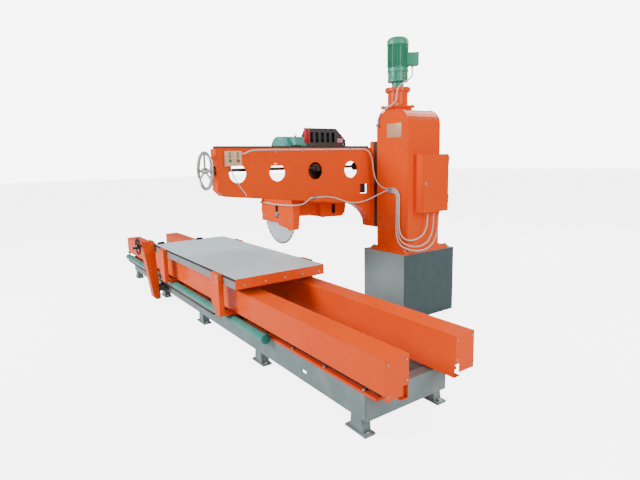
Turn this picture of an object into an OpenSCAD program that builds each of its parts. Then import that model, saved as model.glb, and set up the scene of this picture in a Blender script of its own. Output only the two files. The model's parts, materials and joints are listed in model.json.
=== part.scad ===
// Slab saw: a stone slab rides on a rolling table under a blade that hangs from a column arm.
// +X runs along the bed, +Y runs from the bed towards the column, +Z is up.
// The origin lies on the floor at the middle of the bed's anchor bolts.

/* [Bed] */
// Length of the bed frame
bed_length = 5400; // [5200:20:5500]
// Width over the two side channels
bed_width = 720; // [700:10:740]
// Height of the frame's top above the floor
frame_top = 280; // [270:5:280]
// Height of the frame's underside above the floor
foot_height = 105; // [80:5:120]
// Plate thickness of the frame channels
channel_wall = 10; // [8:1:12]

/* [Rails and covers] */
// Distance between the two rail centre lines
rail_gauge = 596; // [590:2:600]
// Length of each folded rail cover
cover_length = 5800; // [5700:20:5900]
// Height of the rail covers' top
cover_top = 580; // [570:5:590]
// Height of the covers' open outer edge
cover_low = 366; // [364:1:370]
// Width of each rail cover
cover_width = 186; // [184:1:190]

/* [Table] */
// Length of the table between its end plates
table_length = 2290; // [2200:10:2400]
// Width of the table
table_width = 904; // [890:2:910]
// Height of the table's working face
table_top = 724; // [720:1:728]
// Thickness of the steel planks
plank_thickness = 20; // [16:1:24]
// Width of the three clamping slots
slot_width = 18; // [14:1:22]
// Tread radius of the table wheels
wheel_r = 70; // [66:1:72]

/* [Traverse drive] */
// Tooth pitch of the rack
rack_pitch = 20; // [20:1:20]
// Teeth on the pinion
pinion_teeth = 12; // [12:1:12]
// Rim radius of the traverse handwheel
traverse_rim_r = 92; // [80:1:100]

/* [Column] */
// Height of the plinth
plinth_height = 707; // [680:1:720]
// Width of the column along the bed
column_width = 453; // [440:1:460]
// Depth of the column across the bed
column_depth = 462; // [450:1:470]
// Height of the top of the column's arch
arch_top = 2176; // [2150:1:2200]
// Radius of the arch's corners
arch_r = 150; // [120:1:170]

/* [Arm] */
// Height of the arm's top edge
arm_top = 1810; // [1805:1:1815]
// Height of the arm's underside at its tip
arm_tip_low = 1385; // [1380:1:1400]
// Radius of the four lightening holes
hole_r = 87; // [70:1:95]
// Rim radius of the cross-feed handwheel
cross_rim_r = 158; // [140:1:165]

/* [Saw head] */
// Radius of the blade
blade_r = 325; // [300:1:325]
// Thickness of the blade's steel core
blade_thickness = 4; // [3:0.5:5]
// Number of segments on the rim
segment_count = 36; // [24:1:48]
// Radius of the main motor's frame
motor_r = 142; // [130:1:150]
// Pitch radius of the pulley on the motor
motor_pulley_r = 96; // [90:1:100]
// Pitch radius of the pulley on the spindle
spindle_pulley_r = 80; // [70:1:84]

/* [Hidden] */
$fn = 48;

// Clearances
run_gap = 0.05;
slide_gap = 0.3;

// Bed
half_bed = bed_length / 2;
half_width = bed_width / 2;
flange_in = 70;
foot_end_x = half_bed - 100;
foot_pitch = foot_end_x / 2;
foot_y = 325;
anchor_x = 80;
anchor_r = 9;

// Rails
rail_y = rail_gauge / 2;
base_top = frame_top + 20;
rail_top = base_top + 40;
head_half = 14;
cover_in = rail_y - cover_width / 2;
cover_out = rail_y + cover_width / 2;
sheet = 5;

// Rack
tube_y = -412;
tube_z = 300;
tube_r = 40;
rack_root_z = 248;
rack_pitch_z = 240.4;
rack_tip_z = 234;
pinion_pitch_r = rack_pitch * pinion_teeth / (2 * PI);
pinion_z = rack_pitch_z - pinion_pitch_r;
drive_x = -1125;
drive_shaft_z = 715;
drive_shaft_r = 15;
rack_first_tooth = -82;
rack_last_tooth = 82;

// Table
table_x0 = 40 - table_length / 2;
table_x1 = 40 + table_length / 2;
table_y0 = -32 - table_width / 2;
table_y1 = -32 + table_width / 2;
table_low = table_top - 90;
plank_low = table_top - plank_thickness;
plank_count = 4;
plank_pitch = (table_width + slot_width) / plank_count;
leg_x = [-700, 850];
wheel_z = rail_top + wheel_r + slide_gap;
axle_r = 20;

// Column
column_x0 = 881;
column_x1 = column_x0 + column_width;
column_y0 = 1379;
column_y1 = column_y0 + column_depth;
base_plate_top = plinth_height + 35;
lift_x = 990;
lift_y = 1570;
lift_r = 25;
guide_y = [1425, 1795];

// Arm
web_x = 763;
arm_back_x = 633;
arm_tip = -403;
arm_end = 1767;
flare_y = 982;
flare_z = 1242;
root_y = 1379;
root_low = 951;
plate = 12;
hole_z = 1585;
hole_y = [-206, 209, 650, 1109];
screw_x = 697;
screw_z = 1616;
screw_r = 15;
wheel_y = -490;

// Saw head
blade_x = 305;
blade_y = 483;
blade_z = 1126;
shaft_r = 25;
motor_z = 1805;
pulley_y0 = 1040;
pulley_y1 = 1204;
groove_pitch = 32;
belt_count = 5;

// Cabinet
cab_x1 = 1450;
cab_y0 = 1463;
cab_y1 = 1835;
cab_z0 = 1141;
cab_z1 = 1723;
door_x1 = 1466;
isolator_x = 1385;
isolator_z = 1520;

// Cords: radius, number of sides, and each route's points
cord_r = 7;
cord_sides = 8;
cabinet_route_1 = [[1400, 1600, 1119], [1400, 1600, 1065], [1401, 1594, 1010], [1403, 1572, 958],
    [1404, 1530, 912], [1402, 1472, 884], [1394, 1412, 868], [1372, 1366, 864],
    [1332, 1346, 876], [1288, 1344, 902], [1254, 1349, 944], [1236, 1355, 1004],
    [1230, 1359, 1080], [1229, 1361, 1160], [1229, 1364, 1283], [1222, 1365, 1321],
    [1200, 1366, 1353], [1168, 1367, 1375], [1130, 1367, 1382], [1114, 1367, 1382]];
cabinet_route_2 = [[1400, 1690, 1119], [1400, 1690, 1065], [1402, 1684, 1000], [1406, 1666, 930],
    [1410, 1630, 868], [1414, 1575, 826], [1416, 1510, 804], [1412, 1446, 797],
    [1396, 1390, 802], [1360, 1350, 816], [1310, 1334, 838], [1264, 1338, 874],
    [1232, 1347, 926], [1217, 1355, 990], [1212, 1360, 1065], [1212, 1362, 1140],
    [1211, 1363, 1210], [1210, 1364, 1283], [1204, 1365, 1314], [1187, 1366, 1340],
    [1161, 1367, 1357], [1130, 1367, 1363], [1114, 1367, 1363]];
cabinet_route_3 = [[1400, 1765, 1119], [1400, 1765, 1065], [1402, 1760, 1000], [1407, 1744, 930],
    [1413, 1708, 860], [1418, 1655, 802], [1421, 1590, 768], [1421, 1520, 755],
    [1417, 1450, 754], [1400, 1388, 762], [1362, 1344, 778], [1308, 1324, 800],
    [1256, 1328, 838], [1219, 1340, 894], [1201, 1351, 962], [1195, 1358, 1040],
    [1194, 1361, 1120], [1193, 1363, 1200], [1193, 1365, 1282], [1188, 1366, 1306],
    [1175, 1367, 1326], [1155, 1367, 1339], [1131, 1367, 1344], [1114, 1367, 1344]];
lift_route = [[1086, 1685, 2640], [1086, 1685, 2600], [1095, 1676, 2555], [1119, 1640, 2517],
    [1136, 1590, 2490], [1134, 1540, 2465], [1117, 1500, 2438], [1099, 1472, 2405],
    [1089, 1463, 2360], [1084, 1462, 2315], [1078, 1456, 2275], [1062, 1438, 2245],
    [1040, 1413, 2226], [1014, 1392, 2205], [982, 1375, 2184], [948, 1366, 2156],
    [921, 1365, 2118], [905, 1366, 2084], [905, 1366, 2050]];
station_route = [[1070, 1367, 1376], [1036, 1367, 1376], [980, 1364, 1390], [920, 1361, 1424],
    [868, 1360, 1484], [838, 1360, 1570], [820, 1358, 1680], [800, 1338, 1762],
    [780, 1290, 1792], [771, 1200, 1796], [771, 900, 1796], [771, 500, 1796],
    [771, 100, 1796], [772, -50, 1792], [778, -110, 1776], [783, -150, 1762],
    [783, -180, 1762]];
arm_hose_route = [[1070, 1367, 1354], [1036, 1367, 1354], [1004, 1358, 1342], [966, 1339, 1323],
    [928, 1312, 1300], [892, 1283, 1276], [859, 1252, 1256], [830, 1218, 1242],
    [809, 1181, 1234], [795, 1140, 1231], [786, 1098, 1234], [781, 1050, 1243],
    [778, 1000, 1258], [777, 950, 1275], [776, 900, 1291], [776, 850, 1305],
    [776, 800, 1315], [776, 749, 1319], [776, 690, 1319], [776, 640, 1319]];
guard_hose_route = [[776, 612, 1319], [776, 586, 1319], [777, 556, 1309], [774, 526, 1285],
    [760, 496, 1263], [724, 467, 1251], [686, 450, 1245], [640, 438, 1241],
    [590, 432, 1239], [540, 429, 1237], [490, 427, 1236], [430, 426, 1236],
    [370, 425, 1235], [310, 425, 1235], [250, 426, 1236], [190, 428, 1238],
    [140, 429, 1239], [96, 430, 1240], [46, 430, 1240]];

// --- Shared shapes ---

// A box between two corners
module block(low, high) {
    translate(low) cube(high - low);
}

// A drawing in (Y, Z) made solid from x0 to x1
module along_x(x0, x1) {
    translate([x0, 0, 0]) rotate([90, 0, 90]) linear_extrude(x1 - x0) children();
}

// A drawing in (X, Z) made solid from y0 to y1
module along_y(y0, y1) {
    translate([0, y1, 0]) rotate([90, 0, 0]) linear_extrude(y1 - y0) children();
}

// A round bar on an axis along Y
module bar_y(x, z, y0, y1, r) {
    translate([x, y1, z]) rotate([90, 0, 0]) cylinder(r = r, h = y1 - y0);
}

// A round bar on an axis along X
module bar_x(y, z, x0, x1, r) {
    translate([x0, y, z]) rotate([0, 90, 0]) cylinder(r = r, h = x1 - x0);
}

// The children and their mirror image across the bed's centre line
module both_sides() {
    children();
    mirror([0, 1, 0]) children();
}

// Points on an arc
function arc(cx, cy, r, from, to, steps) =
    [for (i = [0:steps]) let (a = from + (to - from) * i / steps) [cx + r * cos(a), cy + r * sin(a)]];

function unit(v) = v / norm(v);

// Direction of a route at one of its points
function heading(route, i) =
    let (last = len(route) - 1)
    unit(route[min(i + 1, last)] - route[max(i - 1, 0)]);

// A round cord along a route; side is any direction that the route never runs along
module cord(route, side) {
    count = len(route);
    rings = [for (i = [0:count - 1])
        let (u = unit(cross(heading(route, i), side)), v = cross(heading(route, i), u))
        for (k = [0:cord_sides - 1])
            route[i] + cord_r * (cos(k * 360 / cord_sides) * u + sin(k * 360 / cord_sides) * v)];
    skin = [for (i = [0:count - 2], k = [0:cord_sides - 1])
        let (a = i * cord_sides + k, b = i * cord_sides + (k + 1) % cord_sides)
        [a, b, b + cord_sides, a + cord_sides]];
    start_cap = [for (k = [0:cord_sides - 1]) cord_sides - 1 - k];
    end_cap = [for (k = [0:cord_sides - 1]) (count - 1) * cord_sides + k];
    color("ivory") polyhedron(points = rings, faces = concat([start_cap], skin, [end_cap]));
}

// A handwheel on an axis along Y: rim, hub and three spokes, bored for its shaft
module handwheel(x, y, z, rim_r, rim_half, bore_r) {
    difference() {
        union() {
            translate([x, y, z]) rotate([90, 0, 0]) rotate_extrude($fn = 64)
                translate([rim_r, 0]) circle(r = rim_half, $fn = 24);
            bar_y(x, z, y - 18, y + 18, bore_r + 14);
            for (a = [90, 210, 330])
                translate([x, y, z]) rotate([0, -a, 0])
                    translate([bore_r + 8, 0, 0]) rotate([0, 90, 0])
                        cylinder(r = rim_half * 0.6, h = rim_r - bore_r - 8, $fn = 24);
        }
        bar_y(x, z, y - 19, y + 19, bore_r);
    }
}

// A V-belt pulley on an axis along Y
module v_pulley(x, z, pitch_r, bore_r) {
    rim = pitch_r + 6;
    first = (pulley_y1 - pulley_y0 - (belt_count - 1) * groove_pitch) / 2;
    translate([x, pulley_y1, z]) rotate([90, 0, 0]) rotate_extrude($fn = 64)
        difference() {
            translate([bore_r, 0]) square([rim - bore_r, pulley_y1 - pulley_y0]);
            for (i = [0:belt_count - 1])
                translate([0, first + i * groove_pitch])
                    polygon([[rim + 1, -11], [rim - 20, -7], [rim - 20, 7], [rim + 1, 11]]);
        }
}

// --- Bed ---

module bed_side_channels() {
    color("slategray") difference() {
        both_sides() along_x(-half_bed + channel_wall, half_bed - channel_wall) polygon([
            [half_width, foot_height], [half_width, frame_top],
            [half_width - flange_in, frame_top], [half_width - flange_in, frame_top - channel_wall],
            [half_width - channel_wall, frame_top - channel_wall],
            [half_width - channel_wall, foot_height + channel_wall],
            [half_width - flange_in, foot_height + channel_wall],
            [half_width - flange_in, foot_height]]);
        block([1984, -half_width - 1, 165], [2044, -half_width + channel_wall + 1, 195]);
    }
}

module bed_cross_beams() {
    inner = half_width - channel_wall;
    color("slategray") {
        for (s = [-1, 1]) {
            edge = s * half_bed;
            block([min(edge, edge - s * channel_wall), -half_width, foot_height],
                [max(edge, edge - s * channel_wall), half_width, frame_top]);
            for (z = [foot_height, frame_top - channel_wall])
                block([min(edge - s * channel_wall, edge - s * 80), -inner + 62, z],
                    [max(edge - s * channel_wall, edge - s * 80), inner - 62, z + channel_wall]);
        }
        for (x = [-foot_pitch, 0, foot_pitch])
            block([x - 40, -inner, foot_height + channel_wall],
                [x + 40, inner, frame_top - channel_wall]);
    }
}

module bed_feet() {
    color("slategray") both_sides() for (i = [-2:2])
        translate([i * foot_pitch, 0, 0]) {
            difference() {
                block([-100, foot_y - 40, 0], [100, foot_y + 45, 15]);
                for (s = [-1, 1])
                    translate([s * anchor_x, foot_y, -1]) cylinder(r = anchor_r, h = 17);
            }
            along_y(foot_y - 35, foot_y + 35)
                polygon([[-62, 15], [62, 15], [50, foot_height], [-50, foot_height]]);
        }
}

module rail_bases() {
    color("orangered") both_sides()
        block([-2790, rail_y - 62, frame_top], [2790, rail_y + 62, base_top]);
}

module rails() {
    color("dimgray") both_sides() along_x(-2780, 2780) translate([rail_y, base_top])
        polygon([[-32, 0], [32, 0], [32, 8], [head_half, 8], [head_half, 40],
            [-head_half, 40], [-head_half, 8], [-32, 8]]);
}

module rail_covers() {
    half = cover_length / 2;
    color("orangered") both_sides() {
        along_x(-half + sheet, half - sheet) polygon([
            [cover_out, cover_low], [cover_out, cover_top], [cover_in, cover_top],
            [cover_in, base_top], [cover_in + 57, base_top], [cover_in + 57, base_top + sheet],
            [cover_in + sheet, base_top + sheet], [cover_in + sheet, cover_top - sheet],
            [cover_out - sheet, cover_top - sheet], [cover_out - sheet, cover_low]]);
        for (x = [-half, half - sheet])
            along_x(x, x + sheet) polygon([[cover_out, 330], [cover_out, cover_top],
                [cover_in, cover_top], [cover_in, 390], [cover_in + 45, 390],
                [cover_in + 45, 330]]);
    }
}

module rack_tube() {
    color("teal") {
        difference() {
            bar_x(tube_y, tube_z, -2780, 1540, tube_r);
            bar_x(tube_y, tube_z, -2781, 1541, tube_r - 6);
        }
        for (x = [-2640:600:1400])
            difference() {
                block([x - 25, tube_y + 12, 240], [x + 25, -half_width, 278]);
                bar_x(tube_y, tube_z, x - 26, x + 26, tube_r - 3);
            }
    }
}

module traverse_rack() {
    color("dimgray") along_y(-428, -406) polygon(concat(
        [for (i = [rack_first_tooth:rack_last_tooth]) each
            let (x = drive_x + i * rack_pitch)
            [[x - 7.5, rack_root_z], [x - 2.4, rack_tip_z], [x + 2.4, rack_tip_z],
                [x + 7.5, rack_root_z]]],
        [[drive_x + rack_last_tooth * rack_pitch + 10, tube_z - tube_r],
            [drive_x + rack_first_tooth * rack_pitch - 10, tube_z - tube_r]]));
}

// --- Column ---

module plinth() {
    color("darkslategray") block([732, 1311, 0], [1353, 2080, plinth_height]);
}

// Outline of the column's side, smaller by d all round
function arch_outline(d) = concat(
    [[column_x0 + d, base_plate_top]],
    arc(column_x0 + arch_r, arch_top - arch_r, arch_r - d, 180, 90, 6),
    arc(column_x1 - arch_r, arch_top - arch_r, arch_r - d, 90, 0, 6),
    [[column_x1 - d, base_plate_top]]);

module column_shell() {
    wall = 10;
    color("orangered") {
        difference() {
            block([824, 1333, plinth_height], [1342, 1997, base_plate_top]);
            for (x = [850, 1316], y = [1356, 1974])
                translate([x, y, plinth_height - 1]) cylinder(r = 11, h = 37);
        }
        difference() {
            union() {
                along_y(column_y0, column_y1) polygon(arch_outline(0));
                block([895, 1470, 2100], [1095, 1670, 2210]);
            }
            difference() {
                along_y(column_y0 + wall, column_y1 - wall) polygon(arch_outline(wall));
                block([column_x0, column_y0, base_plate_top], [column_x0 + 30, column_y1, arch_top]);
            }
            block([column_x0 - 1, 1495, 1230], [column_x0 + 31, 1645, 1800]);
            translate([lift_x, lift_y, 2090]) cylinder(r = 40, h = 130);
        }
    }
}

module column_guides() {
    color("dimgray") for (y = guide_y)
        block([column_x0 - 30, y - 25, 760], [column_x0, y + 25, 2010]);
}

module lift_bearings() {
    color("dimgray") for (z = [base_plate_top, 2108])
        difference() {
            union() {
                translate([lift_x, lift_y, z]) cylinder(r = 39.9, h = 40);
                if (z < 1000)
                    block([lift_x - 70, lift_y - 70, z], [lift_x + 70, lift_y + 70, z + 16]);
            }
            translate([lift_x, lift_y, z - 1]) cylinder(r = lift_r + run_gap, h = 42);
        }
}

module lift_neck() {
    color("orangered") difference() {
        translate([lift_x, lift_y, 0]) {
            block([-125, -125, 2210], [125, 125, 2235]);
            translate([0, 0, 2235]) cylinder(r = 104, h = 143);
            translate([0, 0, 2378]) cylinder(r = 132, h = 37);
        }
        translate([lift_x, lift_y, 2209]) cylinder(r = lift_r + 8, h = 207);
    }
}

module lift_gearbox() {
    color("seagreen") difference() {
        translate([lift_x, lift_y, 0]) {
            translate([0, 0, 2415]) cylinder(r = 62, h = 63);
            translate([0, 0, 2478]) cylinder(r = 106, h = 16);
            translate([0, 0, 2494]) cylinder(r = 97, h = 82);
            translate([0, 0, 2576]) cylinder(r = 108, h = 29);
        }
        translate([lift_x, lift_y, 2414]) cylinder(r = lift_r + 8, h = 41);
    }
}

module lift_motor() {
    color("seagreen") translate([lift_x, lift_y, 0]) {
        translate([0, 0, 2605]) cylinder(r = 99, h = 237);
        for (a = [0:15:345])
            rotate([0, 0, a]) block([92, -2.5, 2622], [110, 2.5, 2834]);
        translate([0, 0, 2842]) cylinder(r = 111, h = 48);
        translate([0, 0, 2890]) cylinder(r1 = 111, r2 = 84, h = 25);
        rotate([0, 0, 50]) block([88, -55, 2640], [202, 55, 2762]);
    }
}

module cabinet_box() {
    color("orangered") difference() {
        block([column_x1, cab_y0, cab_z0], [cab_x1, cab_y1, cab_z1]);
        block([column_x1 + 4, cab_y0 + 4, cab_z0 + 4], [cab_x1 + 1, cab_y1 - 4, cab_z1 - 4]);
        bar_y(isolator_x, isolator_z, cab_y1 - 5, cab_y1 + 1, 14);
    }
    color("gray") for (y = [1600, 1690, 1765])
        translate([1400, y, cab_z0 - 22]) cylinder(r = 12, h = 22);
    color("gray") for (z = [1220, 1620])
        translate([cab_x1 + 8, cab_y1 + 8, z]) {
            cylinder(r = 5, h = 40);
            block([-30, -8, 0], [-8, -5, 40]);
            block([-12, -8, 0], [0, -3, 40]);
        }
}

module column_clips() {
    color("gray") {
        block([1070, 1353, 1336], [1114, column_y0, 1392]);
        block([889, 1352, 2022], [921, column_y0, 2050]);
    }
}

// --- Table ---

module table_frame() {
    color("gray") {
        along_x(table_x0, table_x1) for (edge = [[table_y0, 1], [table_y1, -1]])
            translate([edge[0], table_low]) scale([edge[1], 1])
                polygon([[0, 0], [50, 0], [50, 8], [8, 8], [8, 62], [50, 62], [50, 70], [0, 70]]);
        for (x = [table_x0 + 30, leg_x[0], -310, 80, 460, leg_x[1], table_x1 - 30])
            block([x - 30, table_y0 + 4, table_low], [x + 30, table_y1 - 4, plank_low]);
    }
}

module table_planks() {
    color("lightsteelblue") for (i = [0:plank_count - 1]) {
        y0 = table_y0 + i * plank_pitch;
        y1 = y0 + plank_pitch - slot_width;
        in0 = i == 0 ? 0 : 6;
        in1 = i == plank_count - 1 ? 0 : 6;
        along_x(table_x0, table_x1) polygon([[y0 + in0, plank_low], [y1 - in1, plank_low],
            [y1 - in1, plank_low + 8], [y1, plank_low + 8], [y1, table_top], [y0, table_top],
            [y0, plank_low + 8], [y0 + in0, plank_low + 8]]);
    }
}

module table_end_plates() {
    color("orangered") for (x = [table_x0 - 8, table_x1])
        block([x, table_y0, table_low], [x + 8, table_y1, table_top]);
}

// One leg beside the cover; edge is how far the table's side lies from the centre line
module table_leg(x, edge) {
    outer = edge + 46;
    side_shape = [[-88, table_top], [88, table_top], [88, 345], [10, 345], [-88, 450]];
    translate([x, 0, 0]) {
        difference() {
            along_y(edge, outer) polygon(side_shape);
            along_y(edge - 1, outer - 10) polygon([for (p = side_shape)
                [p[0] > 50 ? p[0] - 10 : p[0] + 10, min(max(p[1], 359), table_top - 10)]]);
        }
        block([-10, cover_out - 46, 345], [88, outer - 1, 359]);
        block([-60, cover_out - 39, 345], [88, cover_out - 25, 470]);
        bar_y(0, wheel_z, rail_y - 38, cover_out - 30, axle_r);
        bar_y(0, wheel_z, rail_y - 38, rail_y - 26, axle_r + 10);
    }
}

module table_legs() {
    color("orangered") for (x = leg_x) {
        table_leg(x, table_y1);
        mirror([0, 1, 0]) table_leg(x, -table_y0);
    }
}

module wheel_pair(x) {
    color("dimgray") both_sides() difference() {
        union() {
            bar_y(x, wheel_z, rail_y - 25, rail_y + 25, wheel_r);
            for (y = [rail_y - 25, rail_y + 17])
                bar_y(x, wheel_z, y, y + 8, wheel_r + 9);
        }
        bar_y(x, wheel_z, rail_y - 26, rail_y + 26, axle_r + run_gap);
    }
}

module near_wheels() {
    wheel_pair(leg_x[1]);
}

module far_wheels() {
    wheel_pair(leg_x[0]);
}

// --- Traverse drive ---

// Outline of the guard's side in (Y, Z), smaller by d
function guard_outline(d) = [[-640 + d, 772 - d], [-500, 772 - d], [-465, 62], [-472, 42 + d],
    [-520, 42 + d], [-545 + d, 66 + d]];

module drive_guard() {
    color("orangered") difference() {
        along_x(drive_x - 65, drive_x + 65) polygon(guard_outline(0));
        along_x(drive_x - 61, drive_x + 61)
            polygon(concat([for (i = [0:1]) guard_outline(4)[i] + [i, 0]],
                [for (i = [2:5]) guard_outline(4)[i] + [i < 4 ? 1 : 0, 0]]));
        bar_y(drive_x, drive_shaft_z, -660, -600, drive_shaft_r + 6);
    }
}

module drive_bracket() {
    color("dimgray") difference() {
        union() {
            block([drive_x - 60.5, -501, 130], [drive_x + 60.5, -489, 760]);
            block([table_x0, -489, 640], [drive_x + 60.5, table_y0, 700]);
            bar_y(drive_x, pinion_z, -501, -478, drive_shaft_r + 11);
            bar_y(drive_x, drive_shaft_z, -501, -486, drive_shaft_r + 11);
        }
        for (z = [pinion_z, drive_shaft_z])
            bar_y(drive_x, z, -502, -477, drive_shaft_r + run_gap);
    }
}

// A chain sprocket on an axis along Y
module sprocket(x, z, y0, y1) {
    teeth = 16;
    translate([x, y1, z]) rotate([90, 0, 0]) linear_extrude(y1 - y0) polygon([
        for (i = [0:teeth - 1]) each [for (p = [[42, -8], [48, -3], [48, 3], [42, 8]])
            let (a = i * 360 / teeth + p[1]) p[0] * [cos(a), sin(a)]]]);
}

module drive_pinion() {
    half_space = 180 / pinion_teeth;
    color("dimgray") {
        bar_y(drive_x, pinion_z, -532, -402, drive_shaft_r);
        sprocket(drive_x, pinion_z, -526, -514);
        translate([drive_x, -404, pinion_z]) rotate([90, 0, 0]) linear_extrude(26) polygon([
            for (i = [0:pinion_teeth - 1]) each [for (p = [[30, -10.5], [38.2, -7.1], [43.8, -2.8],
                    [43.8, 2.8], [38.2, 7.1], [30, 10.5]])
                let (a = 90 + half_space + i * 2 * half_space + p[1]) p[0] * [cos(a), sin(a)]]]);
    }
}

module traverse_handwheel() {
    color("black") {
        bar_y(drive_x, drive_shaft_z, -688, -487, drive_shaft_r);
        sprocket(drive_x, drive_shaft_z, -526, -514);
        handwheel(drive_x, -672, drive_shaft_z, traverse_rim_r, 10, drive_shaft_r);
        bar_y(drive_x + 90, drive_shaft_z, -740, -672, 6);
        bar_y(drive_x + 90, drive_shaft_z, -740, -686, 12);
    }
}

// --- Arm ---

// Outline of the arm in (Y, Z), smaller by d all round
function arm_outline(d) = concat(
    [[arm_end - d, arm_top - d], [arm_tip + d, arm_top - d], [arm_tip + d, arm_tip_low + 55],
        [arm_tip + 55, arm_tip_low + d]],
    [for (t = [0:12.5:75])
        [flare_y + (root_y - flare_y + d) * sin(t),
            root_low + (flare_z - root_low + d) * cos(t)]],
    [[root_y + d, root_low + d], [arm_end - d, root_low + d]]);

module arm_beam() {
    color("orangered") {
        difference() {
            along_x(web_x - plate, web_x) polygon(arm_outline(0));
            for (y = hole_y)
                bar_x(y, hole_z, web_x - plate - 1, web_x + 1, hole_r);
            block([web_x - plate - 1, 1233, 1322], [web_x + 1, 1332, 1425]);
        }
        difference() {
            along_x(arm_back_x, web_x - plate) difference() {
                polygon(arm_outline(0));
                polygon(arm_outline(plate));
            }
            bar_y(screw_x, screw_z, arm_tip - 1, arm_tip + plate + 1, 30);
        }
    }
}

module arm_rails() {
    color("dimgray") {
        block([681, -398, arm_top], [745, 1374, arm_top + 22]);
        block([723, -385, 1440], [web_x - plate, 1180, 1470]);
    }
}

module arm_flange_plate() {
    color("orangered") block([web_x, 1379, 950], [822, 1835, 1875]);
}

module saddle_plate() {
    back = column_x0 - 2;
    color("dimgray") difference() {
        union() {
            block([822, 1385, 950], [back, 1835, 1875]);
            block([back, 1520, 1400], [1045, 1620, 1500]);
        }
        for (y = guide_y)
            block([column_x0 - 30 - slide_gap, y - 25 - slide_gap, 949],
                [back + 1, y + 25 + slide_gap, 1876]);
        translate([lift_x, lift_y, 1399]) cylinder(r = lift_r + run_gap, h = 102);
    }
}

module screw_bearings() {
    color("dimgray") for (y = [arm_tip - 30, 1200])
        difference() {
            union() {
                bar_y(screw_x, screw_z, y, y + 30, 42);
                if (y > 0)
                    block([screw_x, y, screw_z - 30], [web_x - plate, y + 30, screw_z + 30]);
            }
            bar_y(screw_x, screw_z, y - 1, y + 31, screw_r + run_gap);
        }
}

module button_station() {
    color("cornsilk") difference() {
        block([web_x, -335, 1653], [web_x + 40, -180, 1787]);
        for (y = [-296, -219])
            bar_x(y, 1700, web_x + 20, web_x + 41, 12);
    }
}

module arm_clip() {
    color("gray") block([web_x, 612, 1304], [790, 640, 1334]);
}

module cross_screw() {
    color("silver") bar_y(screw_x, screw_z, wheel_y - 18, 1240, screw_r);
}

module cross_handwheel() {
    color("silver") {
        handwheel(screw_x, wheel_y, screw_z, cross_rim_r, 15, screw_r);
        bar_y(screw_x + 156, screw_z, wheel_y - 80, wheel_y, 6);
        bar_y(screw_x + 156, screw_z, wheel_y - 80, wheel_y - 14, 13);
    }
}

// --- Carriage and saw head ---

module carriage_plate() {
    low_rail = 1455;
    color("dimgray") difference() {
        union() {
            block([600, 650, 1300], [625, 1010, 1866]);
            block([600, 650, arm_top + 22 + slide_gap], [759, 1010, 1866]);
            block([745 + slide_gap, 650, arm_top + 3], [759, 1010, 1866]);
            block([625, 690, low_rail - 22], [723 - slide_gap, 970, low_rail + 22]);
            block([625, 700, screw_z - 35], [screw_x + 35, 790, screw_z + 35]);
        }
        bar_y(screw_x, screw_z, 699, 791, screw_r + run_gap);
    }
}

module head_frame() {
    color("orangered") {
        block([235, 650, 1240], [600, 900, 1300]);
        block([130, 500, 1640], [600, 1000, 1662]);
        block([235, 880, 1300], [600, 900, 1640]);
        block([580, 650, 1300], [600, 880, 1640]);
    }
}

module spindle_box() {
    color("orangered") difference() {
        block([235, 520, 1088], [375, 930, 1240]);
        bar_y(blade_x, blade_z, 519, 931, shaft_r + run_gap);
    }
}

// Outline of the blade guard's side in (X, Z): round top and stepped lower edge
function blade_guard_outline(d) = concat(
    arc(blade_x, blade_z, 342 - d, 0, 180, 20),
    [[blade_x - 342 + d, 1040], [blade_x + 35, 1040], [blade_x + 40, 1016],
        [blade_x + 215, 996], [blade_x + 245, 972], [blade_x + 320 - d, 988]]);

module blade_guard() {
    front = 448;
    back = 520;
    wall = 4;
    color("orangered") {
        difference() {
            along_y(front, back) polygon(blade_guard_outline(0));
            along_y(front + wall, back - wall) union() {
                polygon(blade_guard_outline(wall));
                polygon([[blade_x - 342 + wall, 1041], [blade_x + 320 - wall, 1041],
                    [blade_x + 320 - wall, 900], [blade_x - 342 + wall, 900]]);
            }
            bar_y(blade_x, blade_z, back - wall - 1, back + 1, 60);
            bar_y(blade_x, blade_z, front - 1, front + wall + 1, 42);
            block([blade_x - 30, front - 1, blade_z], [blade_x + 30, front + wall + 1, 1222]);
        }
        block([-8, 416, 1226], [26, front, 1254]);
        bar_x(430, 1240, 26, 46, 10);
    }
}

// Outline of the lower belt guard in (Y, Z)
function lower_guard_outline(d) = [[930 + d, 1262 - d], [930 + d, 1066], [1200, 1054],
    [1244, 1062 + d], [1276 - d, 1100], [1290 - d, 1190], [1270 - d, 1262 - d]];

module lower_belt_guard() {
    wall = 4;
    color("orangered") difference() {
        along_x(180, 430) polygon(lower_guard_outline(0));
        along_x(180 + wall, 430 - wall) polygon(lower_guard_outline(wall));
        block([180 + wall, 960, 1040], [430 - wall, 1230, 1300]);
        bar_y(blade_x, blade_z, 929, 935, 60);
        block([429 - wall, 1090, 1090], [431, 1140, 1200]);
    }
}

module upper_belt_guard() {
    wall = 5;
    side_view = [[760, 2030], [1170, 2030], [1300, 1905], [1300, 1662], [760, 1662]];
    end_view = [[165, 1662], [165, 1860], [230, 1925], [330, 1925], [412, 2030], [430, 2030],
        [430, 1662]];
    side_inside = [[760 + wall, 2030 - wall], [1168, 2030 - wall], [1300 - wall, 1903],
        [1300 - wall, 1661], [760 + wall, 1661]];
    end_inside = [[165 + wall, 1661], [165 + wall, 1858], [232, 1920], [332, 1920],
        [414, 2030 - wall], [430 - wall, 2030 - wall], [430 - wall, 1661]];
    color("dimgray") difference() {
        intersection() {
            along_x(165, 430) polygon(side_view);
            along_y(760, 1300) polygon(end_view);
        }
        intersection() {
            along_x(165, 430) polygon(side_inside);
            along_y(760, 1300) polygon(end_inside);
        }
        for (i = [0:4])
            block([420, 820 + i * 72, 1860], [431, 860 + i * 72, 1990]);
        bar_y(blade_x, motor_z, 759, 766, 60);
    }
}

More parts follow.
